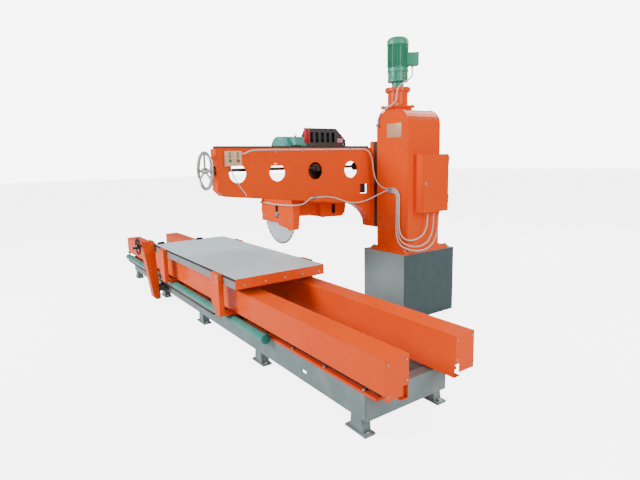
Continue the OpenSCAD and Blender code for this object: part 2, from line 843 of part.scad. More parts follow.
module main_motor() {
    color("mediumaquamarine") {
        difference() {
            union() {
                bar_y(blade_x, motor_z, 545, 740, motor_r - 10);
                for (a = [0:15:345])
                    translate([blade_x, 0, motor_z]) rotate([0, a, 0])
                        block([motor_r - 16, 550, -3], [motor_r, 735, 3]);
                bar_y(blade_x, motor_z, 740, 760, motor_r);
                bar_y(blade_x, motor_z, 482, 545, motor_r - 4);
                for (x = [-110, 70])
                    block([blade_x + x, 560, 1662], [blade_x + x + 40, 730, motor_z - 90]);
                block([blade_x + 90, 590, 1850], [blade_x + 190, 700, 1920]);
            }
            bar_y(blade_x, motor_z, 650, 761, shaft_r + run_gap);
        }
    }
}

// One belt loop around two pulleys, seen in (X, Z)
module belt_loop(grow) {
    hull() {
        translate([blade_x, blade_z]) circle(r = spindle_pulley_r + grow, $fn = 32);
        translate([blade_x, motor_z]) circle(r = motor_pulley_r + grow, $fn = 32);
    }
}

module drive_belts() {
    first = pulley_y0 + (pulley_y1 - pulley_y0 - (belt_count - 1) * groove_pitch) / 2;
    color("black") for (i = [0:belt_count - 1])
        along_y(first + i * groove_pitch - 6, first + i * groove_pitch + 6) difference() {
            belt_loop(7);
            belt_loop(-6);
        }
}

module blade() {
    color("silver") difference() {
        bar_y(blade_x, blade_z, blade_y - blade_thickness / 2, blade_y + blade_thickness / 2,
            blade_r, $fn = 96);
        bar_y(blade_x, blade_z, blade_y - 5, blade_y + 5, shaft_r);
        for (i = [0:segment_count - 1])
            translate([blade_x, blade_y, blade_z]) rotate([0, i * 360 / segment_count, 0])
                block([blade_r - 32, -5, -4], [blade_r + 5, 5, 4]);
    }
}

module spindle_shaft() {
    near_face = blade_y - blade_thickness / 2;
    far_face = blade_y + blade_thickness / 2;
    color("silver") {
        bar_y(blade_x, blade_z, 440, 1225, shaft_r);
        bar_y(blade_x, blade_z, near_face - 8, near_face, 58);
        bar_y(blade_x, blade_z, far_face, far_face + 10, 58);
        translate([blade_x, near_face - 8, blade_z]) rotate([90, 0, 0])
            cylinder(r = 36, h = 14, $fn = 6);
    }
}

module driven_pulley() {
    color("black") v_pulley(blade_x, blade_z, spindle_pulley_r, shaft_r);
}

module motor_pulley() {
    color("black") v_pulley(blade_x, motor_z, motor_pulley_r, shaft_r);
    color("silver") bar_y(blade_x, motor_z, 655, 1225, shaft_r);
}

// --- Lift and electrics ---

module lift_screw() {
    color("silver") translate([lift_x, lift_y, base_plate_top + 6])
        cylinder(r = lift_r, h = 2440 - base_plate_top - 6);
}

module cabinet_door() {
    hinge_y = cab_y1 + 8;
    color("orangered") difference() {
        block([cab_x1 + 1, cab_y0, cab_z0], [door_x1, cab_y1, cab_z1]);
        block([cab_x1, cab_y0 + 5, cab_z0 + 5], [door_x1 - 4, cab_y1 - 5, cab_z1 - 5]);
    }
    color("gray") for (z = [1262, 1662])
        difference() {
            union() {
                translate([cab_x1 + 8, hinge_y, z]) cylinder(r = 8, h = 38);
                block([cab_x1 + 4, cab_y1 - 2, z], [cab_x1 + 14, hinge_y - 2, z + 38]);
            }
            translate([cab_x1 + 8, hinge_y, z - 1]) cylinder(r = 5 + run_gap, h = 40);
        }
}

module isolator_knob() {
    color("red") {
        bar_y(isolator_x, isolator_z, cab_y1 - 10, cab_y1 + 6, 14 - run_gap);
        bar_y(isolator_x, isolator_z, cab_y1 + 6, cab_y1 + 16, 30);
        block([isolator_x - 6, cab_y1 + 16, isolator_z - 28],
            [isolator_x + 6, cab_y1 + 34, isolator_z + 28]);
    }
}

module push_button(y) {
    bar_x(y, 1700, web_x + 25, web_x + 52, 12 - run_gap);
}

module start_button() {
    color("green") push_button(-296);
}

module stop_button() {
    color("red") push_button(-219);
}

// --- Cords ---

module cabinet_cable_1() {
    cord(cabinet_route_1, [1, -1, 0]);
}

module cabinet_cable_2() {
    cord(cabinet_route_2, [1, -1, 0]);
}

module cabinet_cable_3() {
    cord(cabinet_route_3, [1, -1, 0]);
}

module lift_motor_cable() {
    cord(lift_route, [1, 0, 0]);
}

module station_cable() {
    cord(station_route, [1, -1, 0]);
}

module arm_hose() {
    cord(arm_hose_route, [0, 0, 1]);
}

module guard_hose() {
    cord(guard_hose_route, [0, 0, 1]);
}

bed_side_channels();
bed_cross_beams();
bed_feet();
rail_bases();
rails();
rail_covers();
rack_tube();
traverse_rack();
plinth();
column_shell();
column_guides();
lift_bearings();
lift_neck();
lift_gearbox();
lift_motor();
cabinet_box();
column_clips();
cabinet_cable_1();
cabinet_cable_2();
cabinet_cable_3();
lift_motor_cable();
table_frame();
table_planks();
table_end_plates();
table_legs();
drive_guard();
drive_bracket();
near_wheels();
far_wheels();
drive_pinion();
traverse_handwheel();
saddle_plate();
arm_flange_plate();
arm_beam();
arm_rails();
screw_bearings();
button_station();
station_cable();
arm_hose();
arm_clip();
cross_screw();
cross_handwheel();
carriage_plate();
head_frame();
spindle_box();
blade_guard();
lower_belt_guard();
upper_belt_guard();
main_motor();
drive_belts();
guard_hose();
blade();
spindle_shaft();
driven_pulley();
motor_pulley();
lift_screw();
cabinet_door();
isolator_knob();
start_button();
stop_button();
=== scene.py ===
"""Looks of the slab saw: materials, small pieces, cords, floor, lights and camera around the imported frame."""
import json
import math

import bmesh
import bpy
from mathutils import Matrix, Vector


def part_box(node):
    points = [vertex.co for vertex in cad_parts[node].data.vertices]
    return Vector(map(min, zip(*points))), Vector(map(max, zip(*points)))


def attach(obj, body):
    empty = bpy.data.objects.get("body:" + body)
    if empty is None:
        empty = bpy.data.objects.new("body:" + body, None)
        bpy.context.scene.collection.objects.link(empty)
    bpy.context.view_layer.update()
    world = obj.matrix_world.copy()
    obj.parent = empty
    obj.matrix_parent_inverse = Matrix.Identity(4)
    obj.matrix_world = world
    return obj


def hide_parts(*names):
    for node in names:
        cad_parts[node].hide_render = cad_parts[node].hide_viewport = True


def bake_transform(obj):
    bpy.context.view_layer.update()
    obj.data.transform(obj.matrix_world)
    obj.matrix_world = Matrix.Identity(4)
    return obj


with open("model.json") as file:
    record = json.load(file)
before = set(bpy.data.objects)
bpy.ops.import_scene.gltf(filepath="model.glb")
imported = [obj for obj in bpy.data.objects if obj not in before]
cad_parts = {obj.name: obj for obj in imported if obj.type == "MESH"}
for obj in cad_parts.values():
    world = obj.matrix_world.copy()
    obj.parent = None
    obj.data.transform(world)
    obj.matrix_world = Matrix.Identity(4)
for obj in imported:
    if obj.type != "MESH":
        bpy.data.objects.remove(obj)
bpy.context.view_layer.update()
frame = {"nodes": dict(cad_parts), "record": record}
TURN = 2 * math.pi

# Colours are linear.
ORANGE = (0.95, 0.086, 0.0)
# Painted shade: a darker red-orange for shaded parts of the orange paint.
SHADED_RED_ORANGE = (0.88, 0.052, 0.0)
FRAME_GREY = (0.165, 0.24, 0.245)
TEAL = (0.015, 0.27, 0.21)
MOTOR_GREEN = (0.04, 0.36, 0.215)
MOTOR_TEAL = (0.12, 0.47, 0.41)
GREY = (0.25, 0.25, 0.26)
GUARD_GREY = (0.055, 0.065, 0.075)
CREAM = (0.85, 0.54, 0.3)
BEIGE = (0.7, 0.42, 0.22)
BLACK = (0.012, 0.012, 0.014)
DUST = (0.52, 0.5, 0.47)


# --- Materials ---

class Nodes:
    """A new node material with a Principled shader, and short ways to add and join nodes."""

    def __init__(self, name):
        self.material = bpy.data.materials.new(name)
        self.material.use_nodes = True
        self.tree = self.material.node_tree
        self.shader = self.tree.nodes["Principled BSDF"]
        self.place = self.add("ShaderNodeTexCoord").outputs["Object"]

    def add(self, kind, **values):
        node = self.tree.nodes.new(kind)
        for key, value in values.items():
            setattr(node, key, value)
        return node

    def join(self, source, target):
        self.tree.links.new(source, target)

    def scaled_place(self, scale):
        mapping = self.add("ShaderNodeMapping")
        mapping.inputs["Scale"].default_value = scale
        self.join(self.place, mapping.inputs["Vector"])
        return mapping.outputs["Vector"]

    def noise(self, scale, detail=4.0, stretch=None):
        node = self.add("ShaderNodeTexNoise")
        node.inputs["Scale"].default_value = scale
        node.inputs["Detail"].default_value = detail
        self.join(self.scaled_place(stretch) if stretch else self.place, node.inputs["Vector"])
        return node.outputs["Fac"]

    def ramp(self, source, low, high, start=0.0, end=1.0):
        """source from low to high becomes start to end."""
        node = self.add("ShaderNodeMapRange")
        for socket, value in zip(("From Min", "From Max", "To Min", "To Max"), (low, high, start, end)):
            node.inputs[socket].default_value = value
        self.join(source, node.inputs["Value"])
        return node.outputs["Result"]

    def math(self, operation, a, b=None):
        node = self.add("ShaderNodeMath", operation=operation)
        for socket, value in zip(node.inputs, (a, b)):
            if isinstance(value, (int, float)):
                socket.default_value = value
            elif value is not None:
                self.join(value, socket)
        return node.outputs[0]

    def times(self, a, b):
        return self.math("MULTIPLY", a, b)

    def clouds(self, scale, detail, *ends):
        """Noise between 0 and 1, sent through ramp."""
        return self.ramp(self.noise(scale, detail), *ends)

    def mix(self, factor, a, b):
        node = self.add("ShaderNodeMix", data_type="RGBA")
        self.join(factor, node.inputs[0])
        for socket, value in ((node.inputs[6], a), (node.inputs[7], b)):
            if isinstance(value, tuple):
                socket.default_value = (*value, 1.0)
            else:
                self.join(value, socket)
        return node.outputs[2]

    def edges(self, radius):
        """1 at sharp outer edges, 0 on flat faces."""
        rounded = self.add("ShaderNodeBevel", samples=4)
        rounded.inputs["Radius"].default_value = radius
        flat = self.add("ShaderNodeNewGeometry")
        dot = self.add("ShaderNodeVectorMath", operation="DOT_PRODUCT")
        self.join(rounded.outputs["Normal"], dot.inputs[0])
        self.join(flat.outputs["Normal"], dot.inputs[1])
        return self.ramp(dot.outputs["Value"], 0.99, 0.8), rounded.outputs["Normal"]

    def height(self):
        split = self.add("ShaderNodeSeparateXYZ")
        self.join(self.place, split.inputs[0])
        return split.outputs["Z"]

    def bump(self, source, strength, distance, normal=None):
        node = self.add("ShaderNodeBump")
        node.inputs["Strength"].default_value = strength
        node.inputs["Distance"].default_value = distance
        self.join(source, node.inputs["Height"])
        if normal:
            self.join(normal, node.inputs["Normal"])
        self.join(node.outputs["Normal"], self.shader.inputs["Normal"])

    def finish(self, colour, rough, metallic=0.0, coat=0.0, specular=0.5):
        self.join(colour, self.shader.inputs["Base Color"])
        self.join(rough, self.shader.inputs["Roughness"])
        self.shader.inputs["Metallic"].default_value = metallic
        self.shader.inputs["Coat Weight"].default_value = coat
        self.shader.inputs["Coat Roughness"].default_value = 0.12
        self.shader.inputs["Specular IOR Level"].default_value = specular
        return self.material


def darker(colour, share):
    return tuple(c * share for c in colour)


def paint(name, colour, rough=0.32, coat=0.35, wear=0.35, dust=0.12, specular=0.4):
    """Sprayed enamel: slight clouding, orange-peel, dust that settles low, worn and chipped edges."""
    n = Nodes(name)
    clouds = n.clouds(1.7, 3.0, 0.3, 0.7)
    base = n.mix(clouds, darker(colour, 0.94), colour)
    speck = n.clouds(55.0, 6.0, 0.66, 0.8, 0.0, 0.35)
    base = n.mix(speck, base, darker(colour, 0.55))
    dusty = n.times(n.clouds(6.0, 5.0, 0.42, 0.78), n.ramp(n.height(), 0.9, 0.0, 0.15, 1.0))
    base = n.mix(n.times(dusty, dust), base, DUST)
    edge, rounded = n.edges(0.004)
    chipped = n.times(edge, n.clouds(30.0, 5.0, 0.45, 0.62, 0.15, wear))
    base = n.mix(chipped, base, darker(colour, 0.3))
    n.bump(n.noise(420.0, 2.0), 0.05, 0.002, rounded)
    return n.finish(base, n.clouds(14.0, 4.0, 0.3, 0.7, rough - 0.05, rough + 0.1), coat=coat,
                    specular=specular)


def steel(name, colour, rough=0.35, grain=(4.0, 220.0, 220.0), metallic=0.85, stain=0.3, depth=0.05):
    """Machined steel: grain along one direction, oil stains and brighter edges."""
    n = Nodes(name)
    lines = n.noise(1.0, 3.0, grain)
    base = n.mix(n.ramp(lines, 0.3, 0.7), darker(colour, 0.8), colour)
    stains = n.clouds(3.2, 6.0, 0.5, 0.72, 0.0, stain)
    base = n.mix(stains, base, darker(colour, 0.48))
    edge, rounded = n.edges(0.003)
    base = n.mix(n.times(edge, 0.55), base, tuple(min(1.0, c * 1.7 + 0.05) for c in colour))
    n.bump(lines, depth, 0.002, rounded)
    return n.finish(base, n.ramp(lines, 0.3, 0.7, rough - 0.06, rough + 0.12), metallic=metallic)


def turned(name, colour, centre, rough=0.26):
    """Ground disc: fine rings around an axis along Y, and a painted sheen in four lobes round it."""
    n = Nodes(name)
    split = n.add("ShaderNodeSeparateXYZ")
    n.join(n.place, split.inputs[0])
    dx = n.math("SUBTRACT", split.outputs["X"], centre[0])
    dz = n.math("SUBTRACT", split.outputs["Z"], centre[1])
    radius = n.math("SQRT", n.math("ADD", n.times(dx, dx), n.times(dz, dz)))
    angle = n.math("ARCTAN2", dz, dx)
    rings = n.add("ShaderNodeTexNoise", noise_dimensions="1D")
    rings.inputs["Scale"].default_value = 900.0
    n.join(radius, rings.inputs["W"])
    # Painted sheen: the disc is darker and lighter in four lobes round its axis.
    painted_sheen = n.math("SINE", n.times(angle, 4.0))
    base = n.mix(n.ramp(rings.outputs["Fac"], 0.3, 0.7), darker(colour, 0.82), colour)
    base = n.mix(n.ramp(painted_sheen, -1.0, 1.0, 0.0, 0.28), base, darker(colour, 0.62))
    splash = n.times(n.ramp(radius, 0.2, 0.33), n.clouds(9.0, 6.0, 0.42, 0.7, 0.0, 0.5))
    base = n.mix(splash, base, DUST)
    n.bump(rings.outputs["Fac"], 0.06, 0.0015)
    return n.finish(base, n.ramp(rings.outputs["Fac"], 0.3, 0.7, rough, rough + 0.16), metallic=0.5)


def plain(name, colour, rough, grain_scale, bump=0.1, coat=0.0, variation=0.85):
    """Plastic, rubber or sheathing: a soft mottling and a fine moulded grain."""
    n = Nodes(name)
    base = n.mix(n.clouds(7.0, 4.0, 0.3, 0.7), darker(colour, variation), colour)
    n.bump(n.noise(grain_scale, 3.0), bump, 0.001)
    return n.finish(base, n.clouds(18.0, 3.0, 0.3, 0.7, rough - 0.06, rough + 0.08), coat=coat)


def cast_block(name):
    """Painted cast block: blotches, pits, scuffs, a dusty foot and painted shade on the side that faces along the
    bed.
    """
    n = Nodes(name)
    base = n.mix(n.clouds(2.2, 6.0, 0.3, 0.7), (0.24, 0.36, 0.375), (0.32, 0.45, 0.46))
    pits = n.add("ShaderNodeTexVoronoi")
    pits.inputs["Scale"].default_value = 34.0
    n.join(n.place, pits.inputs["Vector"])
    pit = n.ramp(pits.outputs["Distance"], 0.16, 0.05)
    sparse = n.times(pit, n.clouds(5.0, 2.0, 0.52, 0.66))
    base = n.mix(n.times(sparse, 0.7), base, (0.1, 0.14, 0.15))
    foot = n.times(n.ramp(n.height(), 0.22, 0.0), n.clouds(8.0, 5.0, 0.3, 0.7))
    base = n.mix(n.times(foot, 0.5), base, DUST)
    # Painted shade: the side that faces along the bed is darker
    flat = n.add("ShaderNodeNewGeometry")
    split = n.add("ShaderNodeSeparateXYZ")
    n.join(flat.outputs["True Normal"], split.inputs[0])
    base = n.mix(n.ramp(split.outputs["X"], 0.5, 0.9), base, (0.055, 0.09, 0.098))
    edge, rounded = n.edges(0.008)
    base = n.mix(n.times(edge, 0.5), base, (0.45, 0.54, 0.55))
    relief = n.math("SUBTRACT", n.noise(26.0, 6.0), n.times(sparse, 0.6))
    n.bump(relief, 0.25, 0.006, rounded)
    return n.finish(base, n.clouds(12.0, 4.0, 0.3, 0.7, 0.62, 0.82))


BLADE_LOW, BLADE_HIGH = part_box("blade")
BLADE_X = (BLADE_LOW[0] + BLADE_HIGH[0]) / 2
BLADE_Z = (BLADE_LOW[2] + BLADE_HIGH[2]) / 2

MATERIALS = {slot: make(slot, *values) for slot, (make, *values) in {
    "frame_paint": (paint, FRAME_GREY, 0.42, 0.15, 0.5, 0.3),
    "orange_paint": (paint, ORANGE, 0.3, 0.22, 0.3, 0.02, 0.06),
    "dark_steel": (steel, (0.085, 0.07, 0.062), 0.42, (4.0, 220.0, 220.0), 0.7),
    "teal_paint": (paint, TEAL, 0.28, 0.45, 0.4, 0.2),
    "plinth_concrete": (cast_block,),
    "table_steel": (steel, (0.8, 0.95, 1.0), 0.38, (3.0, 160.0, 160.0), 0.08, 0.05, 0.08),
    "grey_paint": (paint, GREY, 0.45, 0.1, 0.4, 0.25),
    "bright_steel": (steel, (0.6, 0.6, 0.59), 0.24, (60.0, 60.0, 60.0), 0.9, 0.15),
    "blade_steel": (turned, (0.94, 0.97, 1.0), (BLADE_X, BLADE_Z)),
    "black_iron": (steel, (0.03, 0.03, 0.033), 0.45, (30.0, 30.0, 30.0), 0.5, 0.2, 0.15),
    "guard_grey": (paint, GUARD_GREY, 0.45, 0.1, 0.5, 0.15),
    "motor_green": (paint, MOTOR_GREEN, 0.38, 0.2, 0.4, 0.1),
    "motor_teal": (paint, MOTOR_TEAL, 0.38, 0.2, 0.4, 0.1),
    "belt_rubber": (plain, (0.014, 0.014, 0.015), 0.68, 300.0, 0.25),
    "white_cable": (plain, (0.78, 0.75, 0.68), 0.46, 200.0, 0.1, 0.0, 0.8),
    "cream_plastic": (plain, CREAM, 0.36, 500.0, 0.05, 0.2, 0.92),
    "red_plastic": (plain, (0.42, 0.03, 0.022), 0.34, 400.0, 0.04, 0.3, 0.9),
    "green_plastic": (plain, (0.035, 0.2, 0.07), 0.34, 400.0, 0.04, 0.3, 0.9),
}.items()}
# Painted shade: a darker copy of the orange paint, for the rail bases and the hems under the guards.
SHADED_ORANGE = paint("shaded_orange", SHADED_RED_ORANGE, 0.3, 0.22, 0.3, 0.02, 0.06)
GUARD_RED = paint("guard_red", (0.72, 0.012, 0.02), 0.36, 0.3, 0.35, 0.1)
PLATE_BEIGE = plain("plate_beige", BEIGE, 0.4, 300.0, 0.06, 0.1)
PLATE_PINK = plain("plate_pink", (0.78, 0.34, 0.42), 0.42, 300.0, 0.06, 0.1)
# Matte black: painted shade in the table's slots, and the contactors' black plastic.
SHADE_AND_BLACK_PLASTIC = plain("shade_and_black_plastic", BLACK, 0.75, 120.0, 0.2)
ZINC = steel("zinc", (0.52, 0.52, 0.5), 0.34, (90.0, 90.0, 90.0), 0.85, 0.3)
BRASS = steel("brass", (0.6, 0.4, 0.14), 0.3, (90.0, 90.0, 90.0), 0.9, 0.3)


def dress_frame():
    """Gives every CAD node the material of its slot."""
    for part in frame["record"]["subparts"]:
        node = frame["nodes"][part["node"]]
        for slot in node.material_slots:
            slot.material = MATERIALS[part["material_slot"]]
    # Painted shade: the rail bases between the covers get the darker copy of the orange paint.
    for slot in frame["nodes"]["rail_bases"].material_slots:
        slot.material = SHADED_ORANGE


# --- Making pieces ---

SIDES = (-1, 1)
UP = (0, 0, 1)
OTHER_AXES = {"X": (1, 2), "Y": (0, 2), "Z": (0, 1)}


def piece(name, bm, body, slot=None, material=None):
    """A finished piece: shown, dressed and riding on its body. It is zinc-plated if no slot is given."""
    if slot is None:
        slot, material = "bright_steel", ZINC
    obj = bpy.data.objects.new(name, to_mesh(name, bm))
    bpy.context.scene.collection.objects.link(obj)
    obj.data.materials.append(material or MATERIALS[slot])
    if body:
        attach(obj, body)
    return obj


def to_mesh(name, bm, smooth_angle=math.radians(35)):
    """Turns a bmesh into a mesh with its outside out, smooth except at sharp edges."""
    bmesh.ops.recalc_face_normals(bm, faces=bm.faces)
    for face in bm.faces:
        face.smooth = True
    for edge in bm.edges:
        if len(edge.link_faces) == 2 and edge.calc_face_angle() > smooth_angle:
            edge.smooth = False
    mesh = bpy.data.meshes.new(name)
    bm.to_mesh(mesh)
    bm.free()
    return mesh


def turn_to(axis):
    """The rotation that takes +Z to an axis."""
    return Vector(UP).rotation_difference(Vector(axis)).to_matrix().to_4x4()


def turns(count, first=0.0):
    """Equal angles round a whole turn, from a share of one step."""
    return [TURN * (k + first) / count for k in range(count)]


def degrees(first, step, count):
    """count angles from first, given in degrees."""
    return [math.radians(first + step * k) for k in range(count)]


def on_circle(centre, radius, axis, angles):
    """Points around one axis of the frame. Angles count from the first of the other two axes to the second."""
    first, second = OTHER_AXES[axis]
    points = [Vector(centre) for _ in angles]
    for point, a in zip(points, angles):
        point[first] += radius * math.cos(a)
        point[second] += radius * math.sin(a)
    return points


def outline(corners):
    """The sides of a closed outline."""
    return [list(pair) for pair in zip(corners, corners[1:] + corners[:1])]


def skin(bm, rings, closed=False):
    """Joins rings of vertices, and closes both ends unless the last ring meets the first."""
    count = len(rings[0])
    for a, b in zip(rings, rings[1:] + (rings[:1] if closed else [])):
        for k in range(count):
            bm.faces.new([a[k], a[(k + 1) % count], b[(k + 1) % count], b[k]])
    if not closed:
        bm.faces.new(list(reversed(rings[0])))
        bm.faces.new(rings[-1])


def add_box(bm, low, high, bevel=0.0, matrix=None):
    """Adds a box with rounded edges."""
    made = bmesh.ops.create_cube(bm, size=1.0)["verts"]
    bmesh.ops.scale(bm, vec=[h - l for l, h in zip(low, high)], verts=made)
    bmesh.ops.translate(bm, vec=[(l + h) / 2 for l, h in zip(low, high)], verts=made)
    if matrix:
        bmesh.ops.transform(bm, matrix=matrix, verts=made)
    if bevel:
        edges = list({e for v in made for e in v.link_edges})
        bmesh.ops.bevel(bm, geom=edges, offset=bevel, segments=2, profile=0.5, affect="EDGES")


def add_lathe(bm, profile, origin, axis, steps=32):
    """Adds a closed body turned around an axis. profile is (radius, height) points from axis to axis."""
    matrix = Matrix.Translation(origin) @ turn_to(axis)
    rings = []
    for radius, height in profile:
        if radius < 1e-6:
            points = [Vector((0, 0, height))]
        else:
            points = on_circle((0, 0, height), radius, "Z", turns(steps))
        rings.append([bm.verts.new(matrix @ point) for point in points])
    for a, b in zip(rings, rings[1:]):
        for k in range(steps):
            corners = [a[k % len(a)], a[(k + 1) % len(a)], b[(k + 1) % len(b)], b[k % len(b)]]
            bm.faces.new(list(dict.fromkeys(corners)))


def add_bolt(bm, foot, axis, size, washer=True):
    """Adds a hexagon head with a chamfered top, on a washer. size is the thread's diameter."""
    matrix = Matrix.Translation(foot) @ turn_to(axis)
    base = 0.0
    if washer:
        base = size * 0.16
        add_lathe(bm, [(0, 0), (size * 1.15, 0), (size * 1.15, base), (0, base)], foot, axis, 20)
    wide, top = size * 0.92, base + size * 0.65
    skin(bm, [[bm.verts.new(matrix @ point) for point in on_circle((0, 0, z), radius, "Z", turns(6))]
              for radius, z in ((wide, base), (wide, top - size * 0.1), (wide * 0.84, top))])


def add_tube(bm, path, radius, sides=8, closed=False):
    """Adds a round tube along a path."""
    path = [Vector(point) for point in path]
    rings = []
    up = Vector(UP)
    count = len(path)
    for i, point in enumerate(path):
        before = path[(i - 1) % count] if closed else path[max(i - 1, 0)]
        after = path[(i + 1) % count] if closed else path[min(i + 1, count - 1)]
        ahead = (after - before).normalized()
        if i == 0 and abs(ahead.z) > 0.9:
            up = Vector((0.0, 1.0, 0.0))
        side = ahead.cross(up).normalized()
        up = side.cross(ahead).normalized()
        rings.append([bm.verts.new(point + radius * (math.cos(a) * side + math.sin(a) * up)) for a in turns(sides)])
    skin(bm, rings, closed)


def group(name, body, add, parts, slot=None, material=None):
    """One piece of several bodies of a kind. parts holds what add needs for each."""
    bm = bmesh.new()
    for part in parts:
        add(bm, *part)
    return piece(name, bm, body, slot, material)


def bolts(name, body, places, axis, size, washer=True):
    return group(name, body, add_bolt, [(place, axis, size, washer) for place in places])


def boxes(name, body, pairs, slot=None, material=None, bevel=0.002):
    """Boxes with rounded edges. pairs is (low corner, high corner) for each."""
    return group(name, body, add_box, [(low, high, bevel) for low, high in pairs], slot, material)


def lathes(name, body, parts, slot=None, material=None, steps=32):
    """Turned bodies. parts is (profile, origin, axis) for each."""
    return group(name, body, add_lathe, [(*part, steps) for part in parts], slot, material)


def tubes(name, body, paths, radius, slot, material=None, sides=8, closed=False):
    return group(name, body, add_tube, [(path, radius, sides, closed) for path in paths], slot, material)


def ribs(name, body, low, high, centre, axis, slot):
    """Cooling ribs between the main ones of a motor: a box repeated around an axis."""
    group(name, body, add_box, [(low, high, 0.0008, Matrix.Translation(centre) @ Matrix.Rotation(a, 4, axis))
                                for a in turns(24, 0.5)], slot)


def motor_grille(name, body, centre, axis, radius, slot):
    """Ring grille on a fan cowl."""
    matrix = Matrix.Translation(centre) @ turn_to(axis)
    wires = [(on_circle((0, 0, 0.002), radius * share, "Z", turns(40)), 0.0028, 8, True)
             for share in (0.3, 0.5, 0.7, 0.88)]
    wires += [([Vector((r * math.cos(a), r * math.sin(a), 0.003)) for r in (radius * 0.1, radius * 0.95)], 0.0024, 6)
              for a in turns(8)]
    group(name, body, add_tube, [([matrix @ point for point in path], *rest) for path, *rest in wires], slot)


def smooth_path(points, steps=8):
    """A curve through the points, with steps between each two."""
    ends = [2 * Vector(points[0]) - Vector(points[1])], [2 * Vector(points[-1]) - Vector(points[-2])]
    chain = ends[0] + [Vector(p) for p in points] + ends[1]
    path = []
    for a, b, c, d in zip(chain, chain[1:], chain[2:], chain[3:]):
        for k in range(steps):
            t = k / steps
            path.append(0.5 * (2 * b + (c - a) * t + (2 * a - 5 * b + 4 * c - d) * t * t
                               + (3 * b - a - 3 * c + d) * t ** 3))
    return path + [Vector(points[-1])]


# --- Cords ---

